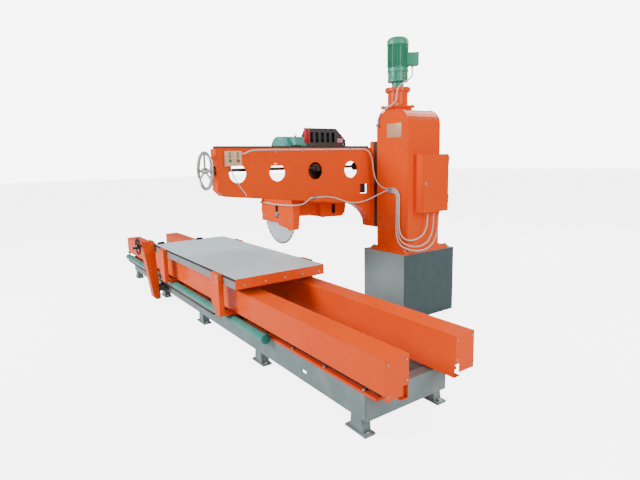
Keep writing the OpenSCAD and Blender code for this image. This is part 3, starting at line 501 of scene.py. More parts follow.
CORD_DIAMETER = 0.014
ROUTES = {
    "cabinet_cable_1": [
        (1.4, 1.6, 1.119), (1.4, 1.6, 1.065), (1.401, 1.594, 1.01), (1.403, 1.572, 0.958),
        (1.404, 1.53, 0.912), (1.402, 1.472, 0.884), (1.394, 1.412, 0.868), (1.372, 1.366, 0.864),
        (1.332, 1.346, 0.876), (1.288, 1.344, 0.902), (1.254, 1.349, 0.944), (1.236, 1.355, 1.004),
        (1.23, 1.359, 1.08), (1.229, 1.361, 1.16), (1.229, 1.364, 1.283), (1.222, 1.365, 1.321),
        (1.2, 1.366, 1.353), (1.168, 1.367, 1.375), (1.13, 1.367, 1.382), (1.114, 1.367, 1.382)],
    "cabinet_cable_2": [
        (1.4, 1.69, 1.119), (1.4, 1.69, 1.065), (1.402, 1.684, 1.0), (1.406, 1.666, 0.93),
        (1.41, 1.63, 0.868), (1.414, 1.575, 0.826), (1.416, 1.51, 0.804), (1.412, 1.446, 0.797),
        (1.396, 1.39, 0.802), (1.36, 1.35, 0.816), (1.31, 1.334, 0.838), (1.264, 1.338, 0.874),
        (1.232, 1.347, 0.926), (1.217, 1.355, 0.99), (1.212, 1.36, 1.065), (1.212, 1.362, 1.14),
        (1.211, 1.363, 1.21), (1.21, 1.364, 1.283), (1.204, 1.365, 1.314), (1.187, 1.366, 1.34),
        (1.161, 1.367, 1.357), (1.13, 1.367, 1.363), (1.114, 1.367, 1.363)],
    "cabinet_cable_3": [
        (1.4, 1.765, 1.119), (1.4, 1.765, 1.065), (1.402, 1.76, 1.0), (1.407, 1.744, 0.93),
        (1.413, 1.708, 0.86), (1.418, 1.655, 0.802), (1.421, 1.59, 0.768), (1.421, 1.52, 0.755),
        (1.417, 1.45, 0.754), (1.4, 1.388, 0.762), (1.362, 1.344, 0.778), (1.308, 1.324, 0.8),
        (1.256, 1.328, 0.838), (1.219, 1.34, 0.894), (1.201, 1.351, 0.962), (1.195, 1.358, 1.04),
        (1.194, 1.361, 1.12), (1.193, 1.363, 1.2), (1.193, 1.365, 1.282), (1.188, 1.366, 1.306),
        (1.175, 1.367, 1.326), (1.155, 1.367, 1.339), (1.131, 1.367, 1.344), (1.114, 1.367, 1.344)],
    "lift_motor_cable": [
        (1.086, 1.685, 2.64), (1.086, 1.685, 2.6), (1.095, 1.676, 2.555), (1.119, 1.64, 2.517),
        (1.136, 1.59, 2.49), (1.134, 1.54, 2.465), (1.117, 1.5, 2.438), (1.099, 1.472, 2.405),
        (1.089, 1.463, 2.36), (1.084, 1.462, 2.315), (1.078, 1.456, 2.275), (1.062, 1.438, 2.245),
        (1.04, 1.413, 2.226), (1.014, 1.392, 2.205), (0.982, 1.375, 2.184), (0.948, 1.366, 2.156),
        (0.921, 1.365, 2.118), (0.905, 1.366, 2.084), (0.905, 1.366, 2.05)],
    "station_cable": [
        (1.07, 1.367, 1.376), (1.036, 1.367, 1.376), (0.98, 1.364, 1.39), (0.92, 1.361, 1.424),
        (0.868, 1.36, 1.484), (0.838, 1.36, 1.57), (0.82, 1.358, 1.68), (0.8, 1.338, 1.762),
        (0.78, 1.29, 1.792), (0.771, 1.2, 1.796), (0.771, 0.9, 1.796), (0.771, 0.5, 1.796),
        (0.771, 0.1, 1.796), (0.772, -0.05, 1.792), (0.778, -0.11, 1.776), (0.783, -0.15, 1.762),
        (0.783, -0.18, 1.762)],
    "arm_hose": [
        (1.07, 1.367, 1.354), (1.036, 1.367, 1.354), (1.004, 1.358, 1.342), (0.966, 1.339, 1.323),
        (0.928, 1.312, 1.3), (0.892, 1.283, 1.276), (0.859, 1.252, 1.256), (0.83, 1.218, 1.242),
        (0.809, 1.181, 1.234), (0.795, 1.14, 1.231), (0.786, 1.098, 1.234), (0.781, 1.05, 1.243),
        (0.778, 1.0, 1.258), (0.777, 0.95, 1.275), (0.776, 0.9, 1.291), (0.776, 0.85, 1.305),
        (0.776, 0.8, 1.315), (0.776, 0.749, 1.319), (0.776, 0.69, 1.319), (0.776, 0.64, 1.319)],
    "guard_hose": [
        (0.776, 0.612, 1.319), (0.776, 0.586, 1.319), (0.777, 0.556, 1.309), (0.774, 0.526, 1.285),
        (0.76, 0.496, 1.263), (0.724, 0.467, 1.251), (0.686, 0.45, 1.245), (0.64, 0.438, 1.241),
        (0.59, 0.432, 1.239), (0.54, 0.429, 1.237), (0.49, 0.427, 1.236), (0.43, 0.426, 1.236),
        (0.37, 0.425, 1.235), (0.31, 0.425, 1.235), (0.25, 0.426, 1.236), (0.19, 0.428, 1.238),
        (0.14, 0.429, 1.239), (0.096, 0.43, 1.24), (0.046, 0.43, 1.24)],
}
# Cords that cross a joint, listed with the two bodies and a stretch of the route; only the names are read, and these
# cords ride on no body
BRIDGES = {
    "station_cable": ("root", "arm", 0, 8),
    "arm_hose": ("root", "arm", 0, -1),
    "guard_hose": ("arm", "carriage", 0, 6),
}


def cord(name, body, route, diameter, steps, sides):
    """A smooth sheathed tube on its route."""
    path = smooth_path(route, steps)
    obj = tubes(name, body, [path], diameter / 2, "white_cable", sides=sides)
    return obj


def cords():
    for name, route in ROUTES.items():
        bridge = BRIDGES.get(name)
        obj = cord(name + "_sheath", None if bridge else "root", route, CORD_DIAMETER, 4, 12)
        if bridge:
            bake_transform(obj)
        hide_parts(name)


# --- Bed pieces ---

RAIL_Y = 0.298


def bed_pieces():
    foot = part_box("rail_bases")[1][2]
    bolts("rail_bolts", "root", [(-2.665 + k * 0.41, side * (RAIL_Y + off), foot) for k in range(14)
                                 for side in SIDES for off in (-0.045, 0.045)], UP, 0.012)
    bolts("anchor_bolts", "root", [(i * 1.3 + s * 0.08, side * 0.325, 0.015) for i in (-2, -1, 0, 1, 2)
                                   for s in SIDES for side in SIDES], UP, 0.016)
    low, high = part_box("rail_covers")
    for end, x, ahead in (("near", high[0], 1), ("far", low[0], -1)):
        bolts("cover_end_screws_" + end, "root",
              [(x, side * y, z) for side in SIDES
               for y, z in ((0.225, 0.55), (0.371, 0.55), (0.225, 0.42), (0.371, 0.36))],
              (ahead, 0, 0), 0.007, washer=False)
    # Rolled hem along the covers' open edge and the welds of the frame's corners
    tubes("cover_hems", "root", [[(x, side * (high[1] - 0.0025), 0.3665) for x in (low[0] + 0.006, high[0] - 0.006)]
                                 for side in SIDES], 0.0045, "orange_paint", sides=10)
    welds = []
    for x in SIDES:
        for side in SIDES:
            welds += [[(x * 2.69, side * y, z) for y in (0.3595, 0.3)] for z in (0.108, 0.277)]
            welds.append([(x * 2.6895, side * 0.3605, z) for z in (0.108, 0.278)])
    tubes("frame_welds", "root", welds, 0.004, "frame_paint")
    low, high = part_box("rack_tube")
    centre, radius = (-0.412, 0.3), 0.04
    cap = [(0, 0), (0.0335, 0), (0.0335, 0.004), (radius + 0.003, 0.004), (radius + 0.003, 0.016),
           (radius - 0.006, 0.021), (0, 0.023)]
    lathes("rack_tube_caps", "root", [(cap, (high[0] - 0.004, *centre), (1, 0, 0)),
                                      (cap, (low[0] + 0.004, *centre), (-1, 0, 0))], "teal_paint")
    tubes("rack_tube_straps", "root", [on_circle((-2.64 + 0.6 * k + dx, *centre), 0.0402, "X", degrees(-35, 17.5, 11))
                                       for k in range(7) for dx in (-0.012, 0.0, 0.012)], 0.0018, "teal_paint")


# --- Table pieces ---

LEG_X = (-0.7, 0.85)
DRIVE_X = -1.125


def table_pieces():
    low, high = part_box("table_planks")
    top = high[2]
    boxes("table_edge_strips", "table",
          [((low[0], low[1] - 0.006, top - 0.02), (high[0], low[1] - 0.0002, top + 0.001)),
           ((low[0], high[1] + 0.0002, top - 0.02), (high[0], high[1] + 0.006, top + 0.001))],
          "belt_rubber", bevel=0.0015)
    boxes("far_stops", "table", [((low[0] + 0.02, y - 0.04, top), (low[0] + 0.048, y + 0.04, top + 0.026))
                                 for y in (-0.41, 0.08)], "belt_rubber", bevel=0.005)
    # Painted shade: black floors at the bottom of the slots between the planks stand for the shade in them.
    boxes("slot_shade_floors", "table",
          [((low[0] + 0.002, y - 0.0055, low[2] + 0.0004), (high[0] - 0.002, y + 0.0235, low[2] + 0.003))
           for y in (-0.2715, -0.041, 0.1895)], "belt_rubber", SHADE_AND_BLACK_PLASTIC)
    screw = [(0, 0.0008), (0.003, 0.0008), (0.0045, 0.0016), (0.008, 0.0016), (0.009, 0.0)]
    lathes("plank_screws", "table", [(screw, (x, y, top - 0.001), UP) for x in (-1.06, -0.31, 0.46, 1.14)
                                     for y in (-0.43, -0.2, 0.03, 0.26)], "table_steel", ZINC, 20)
    low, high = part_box("table_end_plates")
    for end, x, ahead in (("near", high[0], 1), ("far", low[0], -1)):
        bolts("end_plate_bolts_" + end, "table", [(x, y, 0.665) for y in (-0.4, -0.2, 0.0, 0.18, 0.36)],
              (ahead, 0, 0), 0.009)
    low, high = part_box("table_legs")
    for hand, y, side in (("left", low[1], -1), ("right", high[1], 1)):
        bolts("leg_bolts_" + hand, "table", [(x + dx, y, z) for x in LEG_X for dx in (-0.055, 0.055)
                                             for z in (0.655, 0.695)], (0, side, 0), 0.011)
    cap = [(0, 0), (0.024, 0), (0.021, 0.004), (0, 0.005)]
    lathes("axle_caps", "table", [(cap, (x, side * 0.2595, 0.4103), (0, -side, 0)) for x in LEG_X for side in SIDES],
           "dark_steel", ZINC, 24)


def chain_piece():
    """Roller chain between the two sprockets inside the guard. The second half is the first turned half round."""
    low_z, high_z, y, radius, count = 0.2022, 0.715, -0.52, 0.046, 78
    run = high_z - low_z
    half = run + math.pi * radius
    bm = bmesh.new()
    for k in range(count):
        second, s = divmod(2 * half * k / count, half)
        if s < run:
            dx, dz, a = radius, s - run / 2, math.pi / 2
        else:
            t = (s - run) / radius
            dx, dz, a = radius * math.cos(t), run / 2 + radius * math.sin(t), t + math.pi / 2
        flip = -1 if second else 1
        place = Vector((DRIVE_X + flip * dx, y, (low_z + high_z) / 2 + flip * dz))
        matrix = Matrix.Translation(place) @ Matrix.Rotation(-a - math.pi * second, 4, "Y")
        wide = 0.0085 if k % 2 else 0.0065
        for side in SIDES:
            add_box(bm, (-0.01, side * wide - 0.0007, -0.0045), (0.01, side * wide + 0.0007, 0.0045), 0.0, matrix)
        add_lathe(bm, [(0, -0.006), (0.0035, -0.006), (0.0035, 0.006), (0, 0.006)], place, (0, 1, 0), 10)
    piece("traverse_chain", bm, "table", "dark_steel")


def traverse_pieces():
    chain_piece()
    low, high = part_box("drive_guard")
    for end, x, ahead in (("far", low[0], -1), ("near", high[0], 1)):
        bolts("guard_screws_" + end, "table",
              [(x, y, z) for y, z in ((-0.6, 0.74), (-0.53, 0.74), (-0.565, 0.42), (-0.5, 0.12))],
              (ahead, 0, 0), 0.006, washer=False)
    nut = [(0, 0.0), (0.02, 0.0), (0.02, 0.004), (0.012, 0.01), (0.012, 0.018), (0.009, 0.021), (0, 0.021)]
    lathes("traverse_hub_nut", "traverse_handwheel", [(nut, (DRIVE_X, -0.69, 0.715), (0, -1, 0))], "black_iron", ZINC)
    # Dark cover that keeps slurry off the pinion, below the rack
    boxes("pinion_cover", "table", [((-1.058, -0.456, 0.15), (-0.985, -0.38, 0.222)),
                                    ((-1.062, -0.486, 0.14), (-1.054, -0.376, 0.224))], "dark_steel", bevel=0.004)


# --- Column pieces ---

def column_pieces():
    west, east, south, north = 0.881, 1.334, 1.379, 1.841
    bolts("column_anchor_nuts", "root", [(x, y, 0.742) for x in (0.85, 1.316) for y in (1.356, 1.974)], UP, 0.02)
    boxes("name_plate", "root", [((1.03, south - 0.003, 1.902), (1.24, south, 2.042))], "cream_plastic",
          PLATE_BEIGE, 0.001)
    rivet = [(0, 0), (0.005, 0), (0.0045, 0.002), (0, 0.003)]
    lathes("name_plate_rivets", "root", [(rivet, (x, south - 0.003, z), (0, -1, 0)) for x in (1.04, 1.23)
                                         for z in (1.912, 2.032)], steps=14)
    # Weld seams where the wrapped sheet meets the side plates
    radius, shoulder = 0.15, 2.026
    seams = [[(west, y, 0.745), (west, y, shoulder)]
             + on_circle((west + radius, y, shoulder), radius, "Y", degrees(172.5, -7.5, 12))
             + on_circle((east - radius, y, shoulder), radius, "Y", degrees(90, -7.5, 13))
             + [(east, y, 0.745)] for y in (1.3795, 1.8405)]
    tubes("column_seams", "root", seams, 0.0035, "orange_paint")
    corners = [(west, south, 0.744), (east, south, 0.744), (east, north, 0.744), (west, north, 0.744)]
    tubes("column_foot_weld", "root", outline(corners)[:3], 0.006, "orange_paint")


def clip_pieces():
    """Cap screws, saddles and ferrules of the cable clips."""
    bolts("column_clip_screws", "root", [(1.092, 1.353, 1.388), (0.905, 1.352, 2.028)], (0, -1, 0), 0.006,
          washer=False)
    bolts("arm_clip_screws", "arm", [(0.79, 0.626, 1.31)], (1, 0, 0), 0.006, washer=False)
    bm = bmesh.new()
    for y in (1.1, 0.8, 0.5, 0.2):
        for dy in (-0.005, 0.0, 0.005):
            add_tube(bm, [(0.7655 + 0.015 * math.sin(a), y + dy, 1.796 + 0.01 * math.cos(a))
                          for a in degrees(0, 15, 13)], 0.0016, 6)
        add_box(bm, (0.763, y - 0.007, 1.772), (0.7655, y + 0.007, 1.788), 0.0006)
    piece("station_cable_saddles", bm, "arm")
    gland = [(0.0072, 0.0), (0.013, 0.0), (0.013, -0.008), (0.0105, -0.012), (0.0078, -0.026), (0.0072, -0.026),
             (0.0072, 0.0)]
    lathes("cabinet_gland_nuts", "root", [(gland, (1.4, y, 1.119), UP) for y in (1.6, 1.69, 1.765)],
           "grey_paint", PLATE_BEIGE, 20)


# --- Lift pieces ---

GLAND = [(0.0072, 0.0), (0.013, 0.0), (0.013, -0.01), (0.01, -0.014), (0.0078, -0.03), (0.0072, -0.03),
         (0.0072, 0.0)]


def lift_pieces():
    x, y = 0.99, 1.57
    ring = turns(8, 0.5)
    bolts("neck_flange_bolts", "root", on_circle((x, y, 2.415), 0.112, "Z", ring), UP, 0.01)
    bolts("neck_flange_nuts", "root", on_circle((x, y, 2.378), 0.118, "Z", ring), (0, 0, -1), 0.01)
    bolts("neck_base_bolts", "root", [(x + sx * 0.108, y + sy * 0.108, 2.235) for sx in SIDES for sy in SIDES],
          UP, 0.012)
    tubes("neck_welds", "root", [on_circle((x, y, z), 0.1045, "Z", turns(48)) for z in (2.2365, 2.3765)], 0.0035,
          "orange_paint", closed=True)
    # Lugs that stand out of the gearbox under its bolts, and the bolts of the motor's flange
    group("gearbox_lugs", "root", add_box,
          [((0.07, -0.016, 2.494), (0.108, 0.016, 2.576), 0.004,
            Matrix.Translation((x, y, 0)) @ Matrix.Rotation(a, 4, "Z")) for a in ring[::2]], "motor_green")
    bolts("gearbox_motor_bolts", "root", on_circle((x, y, 2.605), 0.103, "Z", ring), UP, 0.006, washer=False)
    plug = [(0, 0), (0.013, 0), (0.013, 0.006), (0.009, 0.01), (0, 0.01)]
    lathes("gearbox_plugs", "root", [(plug, (x + 0.097, y, z), (1, 0, 0)) for z in (2.515, 2.556)],
           "bright_steel", BRASS, 16)
    ribs("lift_motor_fins", "root", (0.09, -0.0018, 2.618), (0.1065, 0.0018, 2.838), (x, y, 0), "Z", "motor_green")
    cowl = [(0.0, -0.002), (0.111, -0.002), (0.1125, 0.0), (0.1125, 0.036), (0.1105, 0.048), (0.102, 0.061),
            (0.086, 0.07), (0.06, 0.0752), (0.0, 0.0755)]
    lathes("lift_motor_cowl", "root", [(cowl, (x, y, 2.842), UP)], "motor_green", steps=48)
    motor_grille("lift_motor_grille", "root", (x, y, 2.916), UP, 0.064, "motor_green")
    # Terminal box lid and gland, turned with the box
    turn = Matrix.Translation((x, y, 0)) @ Matrix.Rotation(math.radians(50), 4, "Z")
    group("lift_terminal_lid", "root", add_box, [((0.202, -0.057, 2.638), (0.211, 0.057, 2.764), 0.003, turn)],
          "motor_green")
    bolts("lift_terminal_screws", "root", [turn @ Vector((0.211, by, bz)) for by in (-0.046, 0.046)
                                           for bz in (2.65, 2.752)],
          turn.to_3x3() @ Vector((1, 0, 0)), 0.005, washer=False)
    lathes("lift_motor_gland", "root", [(GLAND, (1.086, 1.685, 2.64), UP)], "grey_paint", PLATE_BEIGE, 20)


# --- Cabinet pieces ---

def cabinet_pieces():
    """Folded rim and lock of the door, the ring under the isolator knob, and what is inside."""
    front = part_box("cabinet_door")[1][0]
    rim = [(front, y, z) for y, z in ((1.469, 1.147), (1.829, 1.147), (1.829, 1.717), (1.469, 1.717))]
    tubes("door_rim", "cabinet_door", outline(rim), 0.004, "orange_paint")
    lock = [(0, 0), (0.016, 0), (0.016, 0.006), (0.012, 0.01), (0.005, 0.01), (0.005, 0.006), (0, 0.006)]
    lathes("door_lock", "cabinet_door", [(lock, (front, 1.49, 1.432), (1, 0, 0))], steps=28)
    ring = [(0.032, 0), (0.04, 0), (0.04, 0.004), (0.034, 0.006), (0.032, 0.006), (0.032, 0)]
    lathes("isolator_ring", "root", [(ring, (1.385, 1.835, 1.52), (0, 1, 0))], "orange_paint")
    switchgear()


def modules(count, y, pitch, wide, low_z, high_z, deep):
    """The boxes of a row of equal modules on a rail behind the door."""
    return [((1.35, y + pitch * k, low_z), (1.35 + deep, y + pitch * k + wide, high_z)) for k in range(count)]


def switchgear():
    """Back plate, rails, contactors, breakers, terminals and wires behind the door."""
    boxes("gear_back_plate", "root", [((1.338, 1.48, 1.16), (1.341, 1.818, 1.705))], "grey_paint", ZINC, 0.001)
    boxes("gear_rails", "root", [((1.341, 1.49, z), (1.35, 1.808, z + 0.035)) for z in (1.6, 1.44, 1.29)],
          "bright_steel", ZINC, 0.001)
    boxes("contactors", "root", modules(3, 1.5, 0.056, 0.048, 1.575, 1.665, 0.066)
          + modules(4, 1.5, 0.066, 0.058, 1.41, 1.5, 0.073), "cream_plastic", SHADE_AND_BLACK_PLASTIC, 0.003)
    boxes("breakers", "root", modules(5, 1.69, 0.02, 0.018, 1.58, 1.66, 0.054), "cream_plastic", bevel=0.0015)
    boxes("terminal_rail", "root", modules(24, 1.5, 0.011, 0.01, 1.28, 1.33, 0.04), "cream_plastic",
          PLATE_BEIGE, 0.001)
    wires = [smooth_path([(1.373, y, 1.33), (1.393, y, 1.35), (1.398, y + 0.006, 1.38),
                          (1.393, y + 0.004, 1.402), (1.388, y + 0.004, 1.41)], 4)
             for y in [1.515 + 0.03 * k for k in range(9)]]
    tubes("cabinet_wires", "root", wires, 0.0022, "belt_rubber", sides=6)


# --- Arm pieces ---

HOLES_Y = (-0.206, 0.209, 0.65, 1.109)


def arm_pieces():
    low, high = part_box("arm_beam")
    tip, top, near = low[1], high[2], high[0]
    # Rolled lips around the four round holes
    tubes("hole_lips", "arm", [on_circle((near, y, 1.585), 0.088, "X", turns(64)) for y in HOLES_Y], 0.0022,
          "orange_paint", closed=True)
    # Welds of the arm's flanges to its web
    seam = near - 0.001
    welds = [[(seam, *a), (seam, *b)] for a, b in (((tip, top), (1.378, top)), ((tip, top), (tip, 1.44)),
                                                   ((tip, 1.44), (-0.348, 1.385)), ((-0.348, 1.385), (0.982, 1.242)))]
    welds.append([(seam, 0.982 + 0.397 * math.sin(t), 0.951 + 0.291 * math.cos(t)) for t in degrees(0, 12.5, 7)]
                 + [(seam, 1.379, 0.951)])
    tubes("arm_welds", "arm", welds, 0.0034, "orange_paint")
    bolts("saddle_bolts", "arm", [(0.763, 1.8, z) for z in (1.0, 1.14, 1.28, 1.42, 1.56, 1.7)], (-1, 0, 0), 0.016)
    screw = [(0, -0.0004), (0.005, -0.0004), (0.0055, 0.0001), (0.0095, 0.0001), (0.0098, -0.001)]
    lathes("rail_screws", "arm", [(screw, (0.713, -0.36 + 0.16 * k, 1.832), UP) for k in range(11)],
           steps=18)
    bolts("screw_bearing_bolts", "arm", on_circle((0.697, -0.433, 1.616), 0.034, "Y", turns(4, 0.5)), (0, -1, 0),
          0.006, washer=False)
    add_thread("cross_screw", "dark_steel", (0.697, -0.36, 1.616), (0, 1, 0), 0.0152, 1.54)
    add_thread("lift_screw", "bright_steel", (0.99, 1.57, 0.8), UP, 0.0252, 1.3)


def add_thread(body, slot, start, axis, radius, length, pitch=0.02, steps=16):
    """Thread crest on a screw."""
    matrix = Matrix.Translation(start) @ turn_to(axis)
    section = ((radius - 0.003, -0.004), (radius, -0.0025), (radius, 0.0025), (radius - 0.003, 0.004))
    bm = bmesh.new()
    rings = []
    for k in range(int(length / pitch) * steps + 1):
        a, z = TURN * k / steps, pitch * k / steps
        rings.append([bm.verts.new(matrix @ Vector((r * math.cos(a), r * math.sin(a), z + dz))) for r, dz in section])
    skin(bm, rings)
    piece(body + "_thread", bm, body, slot)


def far_side_pieces():
    """Limit switch behind the square opening, and the short cable from the station to the arm's lower edge."""
    boxes("limit_switch", "arm", [((0.694, 1.224, 1.328), (0.746, 1.322, 1.436))], "dark_steel", bevel=0.003)
    boxes("limit_switch_bracket", "arm", [((0.744, 1.2, 1.43), (0.7512, 1.35, 1.446))], "dark_steel",
          bevel=0.001)
    cord("station_short_cable", "arm",
         [(0.784, -0.281, 1.653), (0.784, -0.281, 1.63), (0.778, -0.268, 1.595), (0.772, -0.249, 1.558),
          (0.771, -0.222, 1.51), (0.77, -0.195, 1.466), (0.77, -0.168, 1.43), (0.769, -0.145, 1.398),
          (0.764, -0.136, 1.38), (0.75, -0.134, 1.366), (0.735, -0.133, 1.362)], 0.009, 8, 10)


def station_pieces():
    low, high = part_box("button_station")
    front = high[0]
    middle = (low[1] + high[1]) / 2
    start_y, stop_y = -0.296, -0.219
    # Two raised cover panels with a seam between them
    boxes("station_panels", "arm",
          [((front, y0, low[2] + 0.004), (front + 0.005, y1, high[2] - 0.004))
           for y0, y1 in ((low[1] + 0.004, middle - 0.002), (middle + 0.002, high[1] - 0.004))], "cream_plastic")
    boxes("station_marks", "arm", [((front + 0.005, y - 0.016, z), (front + 0.0062, y + 0.012, z + 0.005))
                                   for y in (start_y, stop_y) for z in (1.728, 1.738, 1.748, 1.758, 1.768)],
          "belt_rubber", bevel=0.0004)
    collar = [(0.0125, 0.0), (0.019, 0.0), (0.019, 0.004), (0.015, 0.008), (0.0125, 0.008), (0.0125, 0.0)]
    lathes("button_collars", "arm", [(collar, (front + 0.005, y, 1.7), (1, 0, 0)) for y in (start_y, stop_y)],
           steps=28)
    cap = [(0, 0), (0.0118, 0), (0.0145, 0.002), (0.0145, 0.006), (0.011, 0.009), (0, 0.01)]
    for name, y, slot in (("start_button", start_y, "green_plastic"), ("stop_button", stop_y, "red_plastic")):
        lathes(name + "_cap", name, [(cap, (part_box(name)[1][0] - 0.001, y, 1.7), (1, 0, 0))], slot, steps=28)
    lathes("station_gland", "arm", [(GLAND, (0.783, -0.18, 1.762), (0, -1, 0))], "cream_plastic", PLATE_BEIGE, 20)


def handwheel_pieces():
    nut = [(0, 0), (0.024, 0), (0.024, 0.006), (0.014, 0.014), (0.014, 0.022), (0.01, 0.026), (0, 0.026)]
    lathes("cross_hub_nut", "cross_screw", [(nut, (0.697, -0.508, 1.616), (0, -1, 0))], steps=28)
    grip = [(0, 0.0), (0.01, 0.0), (0.0135, 0.006), (0.015, 0.022), (0.013, 0.044), (0.0145, 0.06),
            (0.012, 0.07), (0, 0.073)]
    for name, body, place, slot in (("cross_grip", "cross_screw", (0.853, -0.509, 1.616), "bright_steel"),
                                    ("traverse_grip", "traverse_handwheel", (-1.035, -0.684, 0.715), "black_iron")):
        lathes(name, body, [(grip, place, (0, -1, 0))], slot, steps=28)


# --- Saw head pieces ---

MOTOR_Z = 1.805


def blade_pieces():
    low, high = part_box("blade")
    y0, y1 = low[1] - 0.0006, high[1] + 0.0006
    inner, outer = 0.3045, 0.3262
    count, steps = 36, 4
    section = ((inner, y0), (outer, y0), (outer, y1), (inner, y1))
    bm = bmesh.new()
    for k in range(count):
        start, end = TURN * (k + 0.075) / count, TURN * (k + 0.925) / count
        angles = [start + (end - start) * i / steps for i in range(steps + 1)]
        skin(bm, [[bm.verts.new((BLADE_X + r * math.cos(a), y, BLADE_Z - r * math.sin(a))) for r, y in section]
                  for a in angles])
    material = steel("segment_grit", (0.34, 0.33, 0.3), 0.55, (300.0, 300.0, 300.0), 0.5, 0.5, 0.5)
    piece("blade_segments", bm, "blade", "blade_steel", material)
    pin = [(0, 0), (0.005, 0), (0.0045, 0.002), (0, 0.0025)]
    lathes("flange_pins", "blade", [(pin, place, (0, -1, 0)) for place in
                                    on_circle((BLADE_X, low[1] - 0.008, BLADE_Z), 0.048, "Y", turns(6))],
           steps=14)


def guard_pieces():
    front, back, radius = 0.448, 0.52, 0.342
    # Rolled rim around the guard's arch on both faces, and the hem under it
    tubes("guard_rims", "carriage", [on_circle((BLADE_X, y, BLADE_Z), radius, "Y", degrees(0, 4.5, 41))
                                     for y in (front, back)], 0.0045, "orange_paint")
    # Painted shade: the hem under the arch is in the darker copy of the orange paint.
    lower = [(BLADE_X + dx, front - 0.001, z) for dx, z in ((-radius, 1.04), (0.035, 1.04), (0.04, 1.016),
                                                            (0.215, 0.996), (0.245, 0.972), (0.32, 0.988))]
    tubes("guard_lower_hem", "carriage", list(zip(lower, lower[1:])), 0.0038, "orange_paint", SHADED_ORANGE)
    bolts("guard_bolts", "carriage", [(BLADE_X + dx, front, z) for dx, z in ((-0.18, 1.245), (0.2, 1.245),
                                                                             (-0.26, 1.1), (0.27, 1.09))],
          (0, -1, 0), 0.01)
    # Water inlet: barb, clamp and a small tap
    barb = [(0, 0), (0.0115, 0), (0.0115, 0.006), (0.0095, 0.01), (0.0072, 0.011), (0.0072, 0.034), (0, 0.034)]
    clamp = [(0.0072, 0), (0.0096, 0), (0.0096, 0.008), (0.0072, 0.008), (0.0072, 0)]
    tap = [(0, 0), (0.009, 0), (0.009, 0.012), (0.005, 0.014), (0.005, 0.026), (0.012, 0.028), (0.012, 0.036),
           (0, 0.038)]
    for name, profile, place, axis, metal in (("hose_barb", barb, (0.04, 0.43, 1.24), (1, 0, 0), BRASS),
                                              ("hose_clamp", clamp, (0.062, 0.43, 1.24), (1, 0, 0), ZINC),
                                              ("water_tap", tap, (0.009, 0.432, 1.254), UP, BRASS)):
        lathes(name, "carriage", [(profile, place, axis)], "bright_steel", metal, 20)


def belt_path(y, lower_r, upper_r, steps=28):
    """Centreline of a belt around the two pulleys."""
    lean = math.asin((upper_r - lower_r) / (MOTOR_Z - BLADE_Z))
    over = on_circle((BLADE_X, y, MOTOR_Z), upper_r, "Y",
                     [-lean + (math.pi + 2 * lean) * k / steps for k in range(steps + 1)])
    under = on_circle((BLADE_X, y, BLADE_Z), lower_r, "Y",
                      [math.pi + lean + (math.pi - 2 * lean) * k / steps for k in range(steps + 1)])
    shares = [k / 8 for k in range(1, 8)]
    return (over + [over[-1].lerp(under[0], share) for share in shares]
            + under + [under[-1].lerp(over[0], share) for share in shares])


def belt_pieces():
    """Five V-belts with a wedge section."""
    section = ((0.0065, -0.0085), (0.0065, 0.0085), (-0.006, 0.0058), (-0.006, -0.0058))
    bm = bmesh.new()
    for i in range(5):
        path = belt_path(1.058 + 0.032 * i, 0.08, 0.096)
        rings = []
        for k, point in enumerate(path):
            ahead = (path[(k + 1) % len(path)] - path[k - 1]).normalized()
            outward = Vector((0, 1, 0)).cross(ahead)
            rings.append([bm.verts.new(point + outward * depth + Vector((0, wide, 0))) for depth, wide in section])
        skin(bm, rings, closed=True)
    obj = piece("v_belts", bm, "carriage", "belt_rubber")
    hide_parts("drive_belts")


def head_pieces():
    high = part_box("upper_belt_guard")[1]
    near, top = high[0], high[2]
    # Red end plate on the motor side, and the pale plate at the slanted end
    boxes("guard_end_bars", "carriage", [((near, 0.757, 1.868), (near + 0.006, 0.78, top + 0.004)),
                                         ((near, 0.79, 1.868), (near + 0.006, 0.814, top + 0.004)),
                                         ((near, 0.757, 1.862), (near + 0.007, 0.814, 1.874)),
                                         ((near - 0.02, 0.754, 1.868), (near + 0.006, 0.76, top + 0.004))],
          "orange_paint", GUARD_RED, 0.0015)
    boxes("guard_blank_plate", "carriage", [((near, 1.185, 1.855), (near + 0.003, 1.262, 1.925))], "cream_plastic",
          PLATE_PINK, 0.001)
    # Raised frames around the slots and a hem at the lower edge
    frames = []
    for y in [0.82 + i * 0.072 for i in range(5)]:
        frames += outline([(near, y, 1.86), (near, y + 0.04, 1.86), (near, y + 0.04, 1.99), (near, y, 1.99)])
    group("belt_guard_frames", "carriage", add_tube,
          [(side, 0.0035) for side in frames] + [([(near, 0.76, 1.668), (near, 1.3, 1.668)], 0.005),
                                                 ([(near, 0.814, top - 0.001), (near, 1.17, top - 0.001),
                                                   (near, 1.3, 1.905), (near, 1.3, 1.668)], 0.004)],
          "guard_grey")
    bolts("belt_guard_bolts", "carriage", [(near, y, z) for y, z in ((0.785, 1.7), (1.0, 1.7), (1.27, 1.7),
                                                                     (1.27, 1.86))], (1, 0, 0), 0.008)
    motor_pieces()
    spindle_pieces()


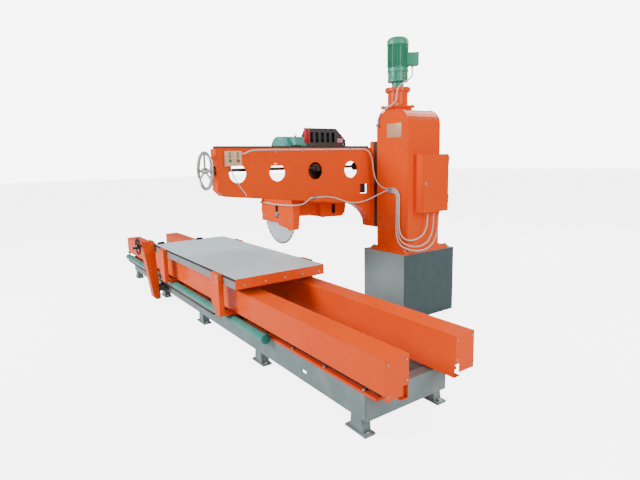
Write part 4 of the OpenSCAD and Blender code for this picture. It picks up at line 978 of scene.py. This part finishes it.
def motor_pieces():
    """Main motor: cowl rim, grille, eyebolt, ribs, terminal lid, feet and their bolts."""
    x, z = BLADE_X, MOTOR_Z
    rim = [(0.128, 0.0), (0.1405, 0.004), (0.1415, 0.01), (0.1415, 0.06), (0.1395, 0.062), (0.1385, 0.006),
           (0.128, 0.002), (0.128, 0.0)]
    lathes("main_cowl_rim", "carriage", [(rim, (x, 0.48, z), (0, 1, 0))], "motor_teal", steps=56)
    motor_grille("main_motor_grille", "carriage", (x, 0.48, z), (0, -1, 0), 0.132, "motor_teal")
    bm = bmesh.new()
    add_tube(bm, on_circle((x, 0.712, 1.965), 0.013, "X", turns(24)), 0.004, 8, closed=True)
    add_lathe(bm, [(0, 0), (0.012, 0), (0.01, 0.012), (0, 0.014)], (x, 0.712, 1.942), UP, 20)
    piece("motor_eyebolt", bm, "carriage", "dark_steel")
    ribs("main_motor_fins", "carriage", (0.128, 0.552, -0.002), (0.1405, 0.733, 0.002), (x, 0, z), "Y", "motor_teal")
    boxes("main_terminal_lid", "carriage", [((x + 0.092, 0.588, 1.92), (x + 0.192, 0.702, 1.93))], "motor_teal",
          bevel=0.003)
    bolts("main_terminal_screws", "carriage", [(x + dx, y, 1.93) for dx in (0.102, 0.182) for y in (0.6, 0.69)],
          UP, 0.006, washer=False)
    boxes("motor_feet", "carriage", [((x + dx - 0.028, 0.545, 1.662), (x + dx + 0.028, 0.745, 1.674))
                                     for dx in (-0.125, 0.125)], "motor_teal")
    bolts("motor_foot_bolts", "carriage", [(x + dx, y, 1.674) for dx in (-0.138, 0.138) for y in (0.562, 0.728)],
          UP, 0.012)


def spindle_pieces():
    near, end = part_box("spindle_box")[1][:2]
    cap = [(0.0265, 0.0), (0.062, 0.0), (0.062, 0.006), (0.05, 0.012), (0.03, 0.012), (0.0265, 0.009),
           (0.0265, 0.0)]
    lathes("spindle_cap", "carriage", [(cap, (BLADE_X, end, BLADE_Z), (0, 1, 0))], "dark_steel", steps=36)
    nipple = [(0, 0), (0.006, 0), (0.006, 0.006), (0.003, 0.009), (0.004, 0.012), (0, 0.014)]
    lathes("grease_nipples", "carriage", [(nipple, (near, y, 1.2), (1, 0, 0)) for y in (0.57, 0.88)],
           "bright_steel", BRASS, 14)
    bolts("spindle_box_bolts", "carriage", [(near, y, 1.218) for y in (0.56, 0.68, 0.8, 0.9)], (1, 0, 0), 0.01)
    low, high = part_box("lower_belt_guard")
    edge = ((0.932, 1.262), (0.932, 1.066), (1.2, 1.054), (1.244, 1.062), (1.276, 1.1), (1.29, 1.19),
            (1.27, 1.262))
    window = [(high[0], y, z) for y, z in ((1.09, 1.09), (1.14, 1.09), (1.14, 1.2), (1.09, 1.2))]
    # Painted shade: the lower guard's hems and window rim are in the darker copy of the orange paint.
    group("lower_guard_hems", "carriage", add_tube,
          [([(x, y, z) for y, z in edge], 0.0036) for x in (low[0], high[0])]
          + [(side, 0.003) for side in outline(window)], "orange_paint", SHADED_ORANGE)
    bolts("carriage_plate_bolts", "carriage", [(0.6, y, z) for y in (0.7, 0.96) for z in (1.7, 1.8)],
          (-1, 0, 0), 0.014)


# --- Room, lights and camera ---

CAMERA_AT = (4.71, -2.081, 1.679)
CAMERA_YAW = math.radians(144.974)
CAMERA_DOWN = math.radians(9.508)
CAMERA_ROLL = math.radians(-1.344)
CAMERA_LENS = 26.46
# Brightness of the surroundings: the light they throw, and how much paler they look
WORLD_LIGHT = 0.35
WALL_GLOW = 7.0
FLOOR_GLOW = 5.0


def camera():
    """The camera at the photograph's viewpoint."""
    data = bpy.data.cameras.new("camera")
    data.lens = CAMERA_LENS
    data.sensor_width = 36.0
    obj = bpy.data.objects.new("camera", data)
    bpy.context.scene.collection.objects.link(obj)
    ahead = Vector((math.cos(CAMERA_YAW) * math.cos(CAMERA_DOWN), math.sin(CAMERA_YAW) * math.cos(CAMERA_DOWN),
                    -math.sin(CAMERA_DOWN)))
    right = Vector((math.sin(CAMERA_YAW), -math.cos(CAMERA_YAW), 0.0))
    up = right.cross(ahead)
    c, s = math.cos(CAMERA_ROLL), math.sin(CAMERA_ROLL)
    right, up = c * right + s * up, c * up - s * right
    obj.matrix_world = Matrix.Translation(CAMERA_AT) @ Matrix((right, up, -ahead)).transposed().to_4x4()
    bpy.context.scene.camera = obj


def area_light(name, place, target, size, power):
    data = bpy.data.lights.new(name, "AREA")
    data.shape = "DISK"
    data.size = size
    data.energy = power
    obj = bpy.data.objects.new(name, data)
    bpy.context.scene.collection.objects.link(obj)
    obj.location = place
    obj.rotation_euler = (Vector(target) - Vector(place)).to_track_quat("-Z", "Y").to_euler()


def seen_only(tree, strength):
    """An output that is strength where the camera looks straight at a surface, and 0 for the light it throws."""
    path = tree.nodes.new("ShaderNodeLightPath")
    scale = tree.nodes.new("ShaderNodeMath")
    scale.operation = "MULTIPLY_ADD"
    scale.inputs[1].default_value = strength
    scale.inputs[2].default_value = 0.0
    tree.links.new(path.outputs["Is Camera Ray"], scale.inputs[0])
    return scale


def studio():
    """Pale floor, white surroundings and soft lights."""
    bm = bmesh.new()
    bmesh.ops.create_grid(bm, x_segments=1, y_segments=1, size=60.0)
    mesh = bpy.data.meshes.new("floor")
    bm.to_mesh(mesh)
    bm.free()
    floor = bpy.data.objects.new("floor", mesh)
    bpy.context.scene.collection.objects.link(floor)
    material = bpy.data.materials.new("floor")
    material.use_nodes = True
    shader = material.node_tree.nodes["Principled BSDF"]
    shader.inputs["Base Color"].default_value = (0.86, 0.86, 0.86, 1.0)
    shader.inputs["Roughness"].default_value = 0.7
    shader.inputs["Emission Color"].default_value = (1.0, 1.0, 1.0, 1.0)
    glow = seen_only(material.node_tree, FLOOR_GLOW)
    material.node_tree.links.new(glow.outputs[0], shader.inputs["Emission Strength"])
    floor.data.materials.append(material)
    world = bpy.data.worlds.new("studio")
    world.use_nodes = True
    background = world.node_tree.nodes["Background"]
    background.inputs["Color"].default_value = (1.0, 1.0, 1.0, 1.0)
    glow = seen_only(world.node_tree, WALL_GLOW)
    glow.inputs[2].default_value = WORLD_LIGHT
    world.node_tree.links.new(glow.outputs[0], background.inputs["Strength"])
    bpy.context.scene.world = world
    area_light("key", (-2.0, -7.0, 5.0), (0.3, 0.3, 0.9), 4.0, 850.0)
    area_light("fill", (8.0, 1.0, 4.0), (0.5, 0.5, 0.9), 4.0, 300.0)
    area_light("back", (0.8, 7.5, 6.5), (0.8, 0.8, 1.2), 5.0, 600.0)


camera()
dress_frame()
cords()
bed_pieces()
table_pieces()
traverse_pieces()
column_pieces()
clip_pieces()
lift_pieces()
cabinet_pieces()
arm_pieces()
far_side_pieces()
station_pieces()
handwheel_pieces()
blade_pieces()
guard_pieces()
belt_pieces()
head_pieces()
studio()
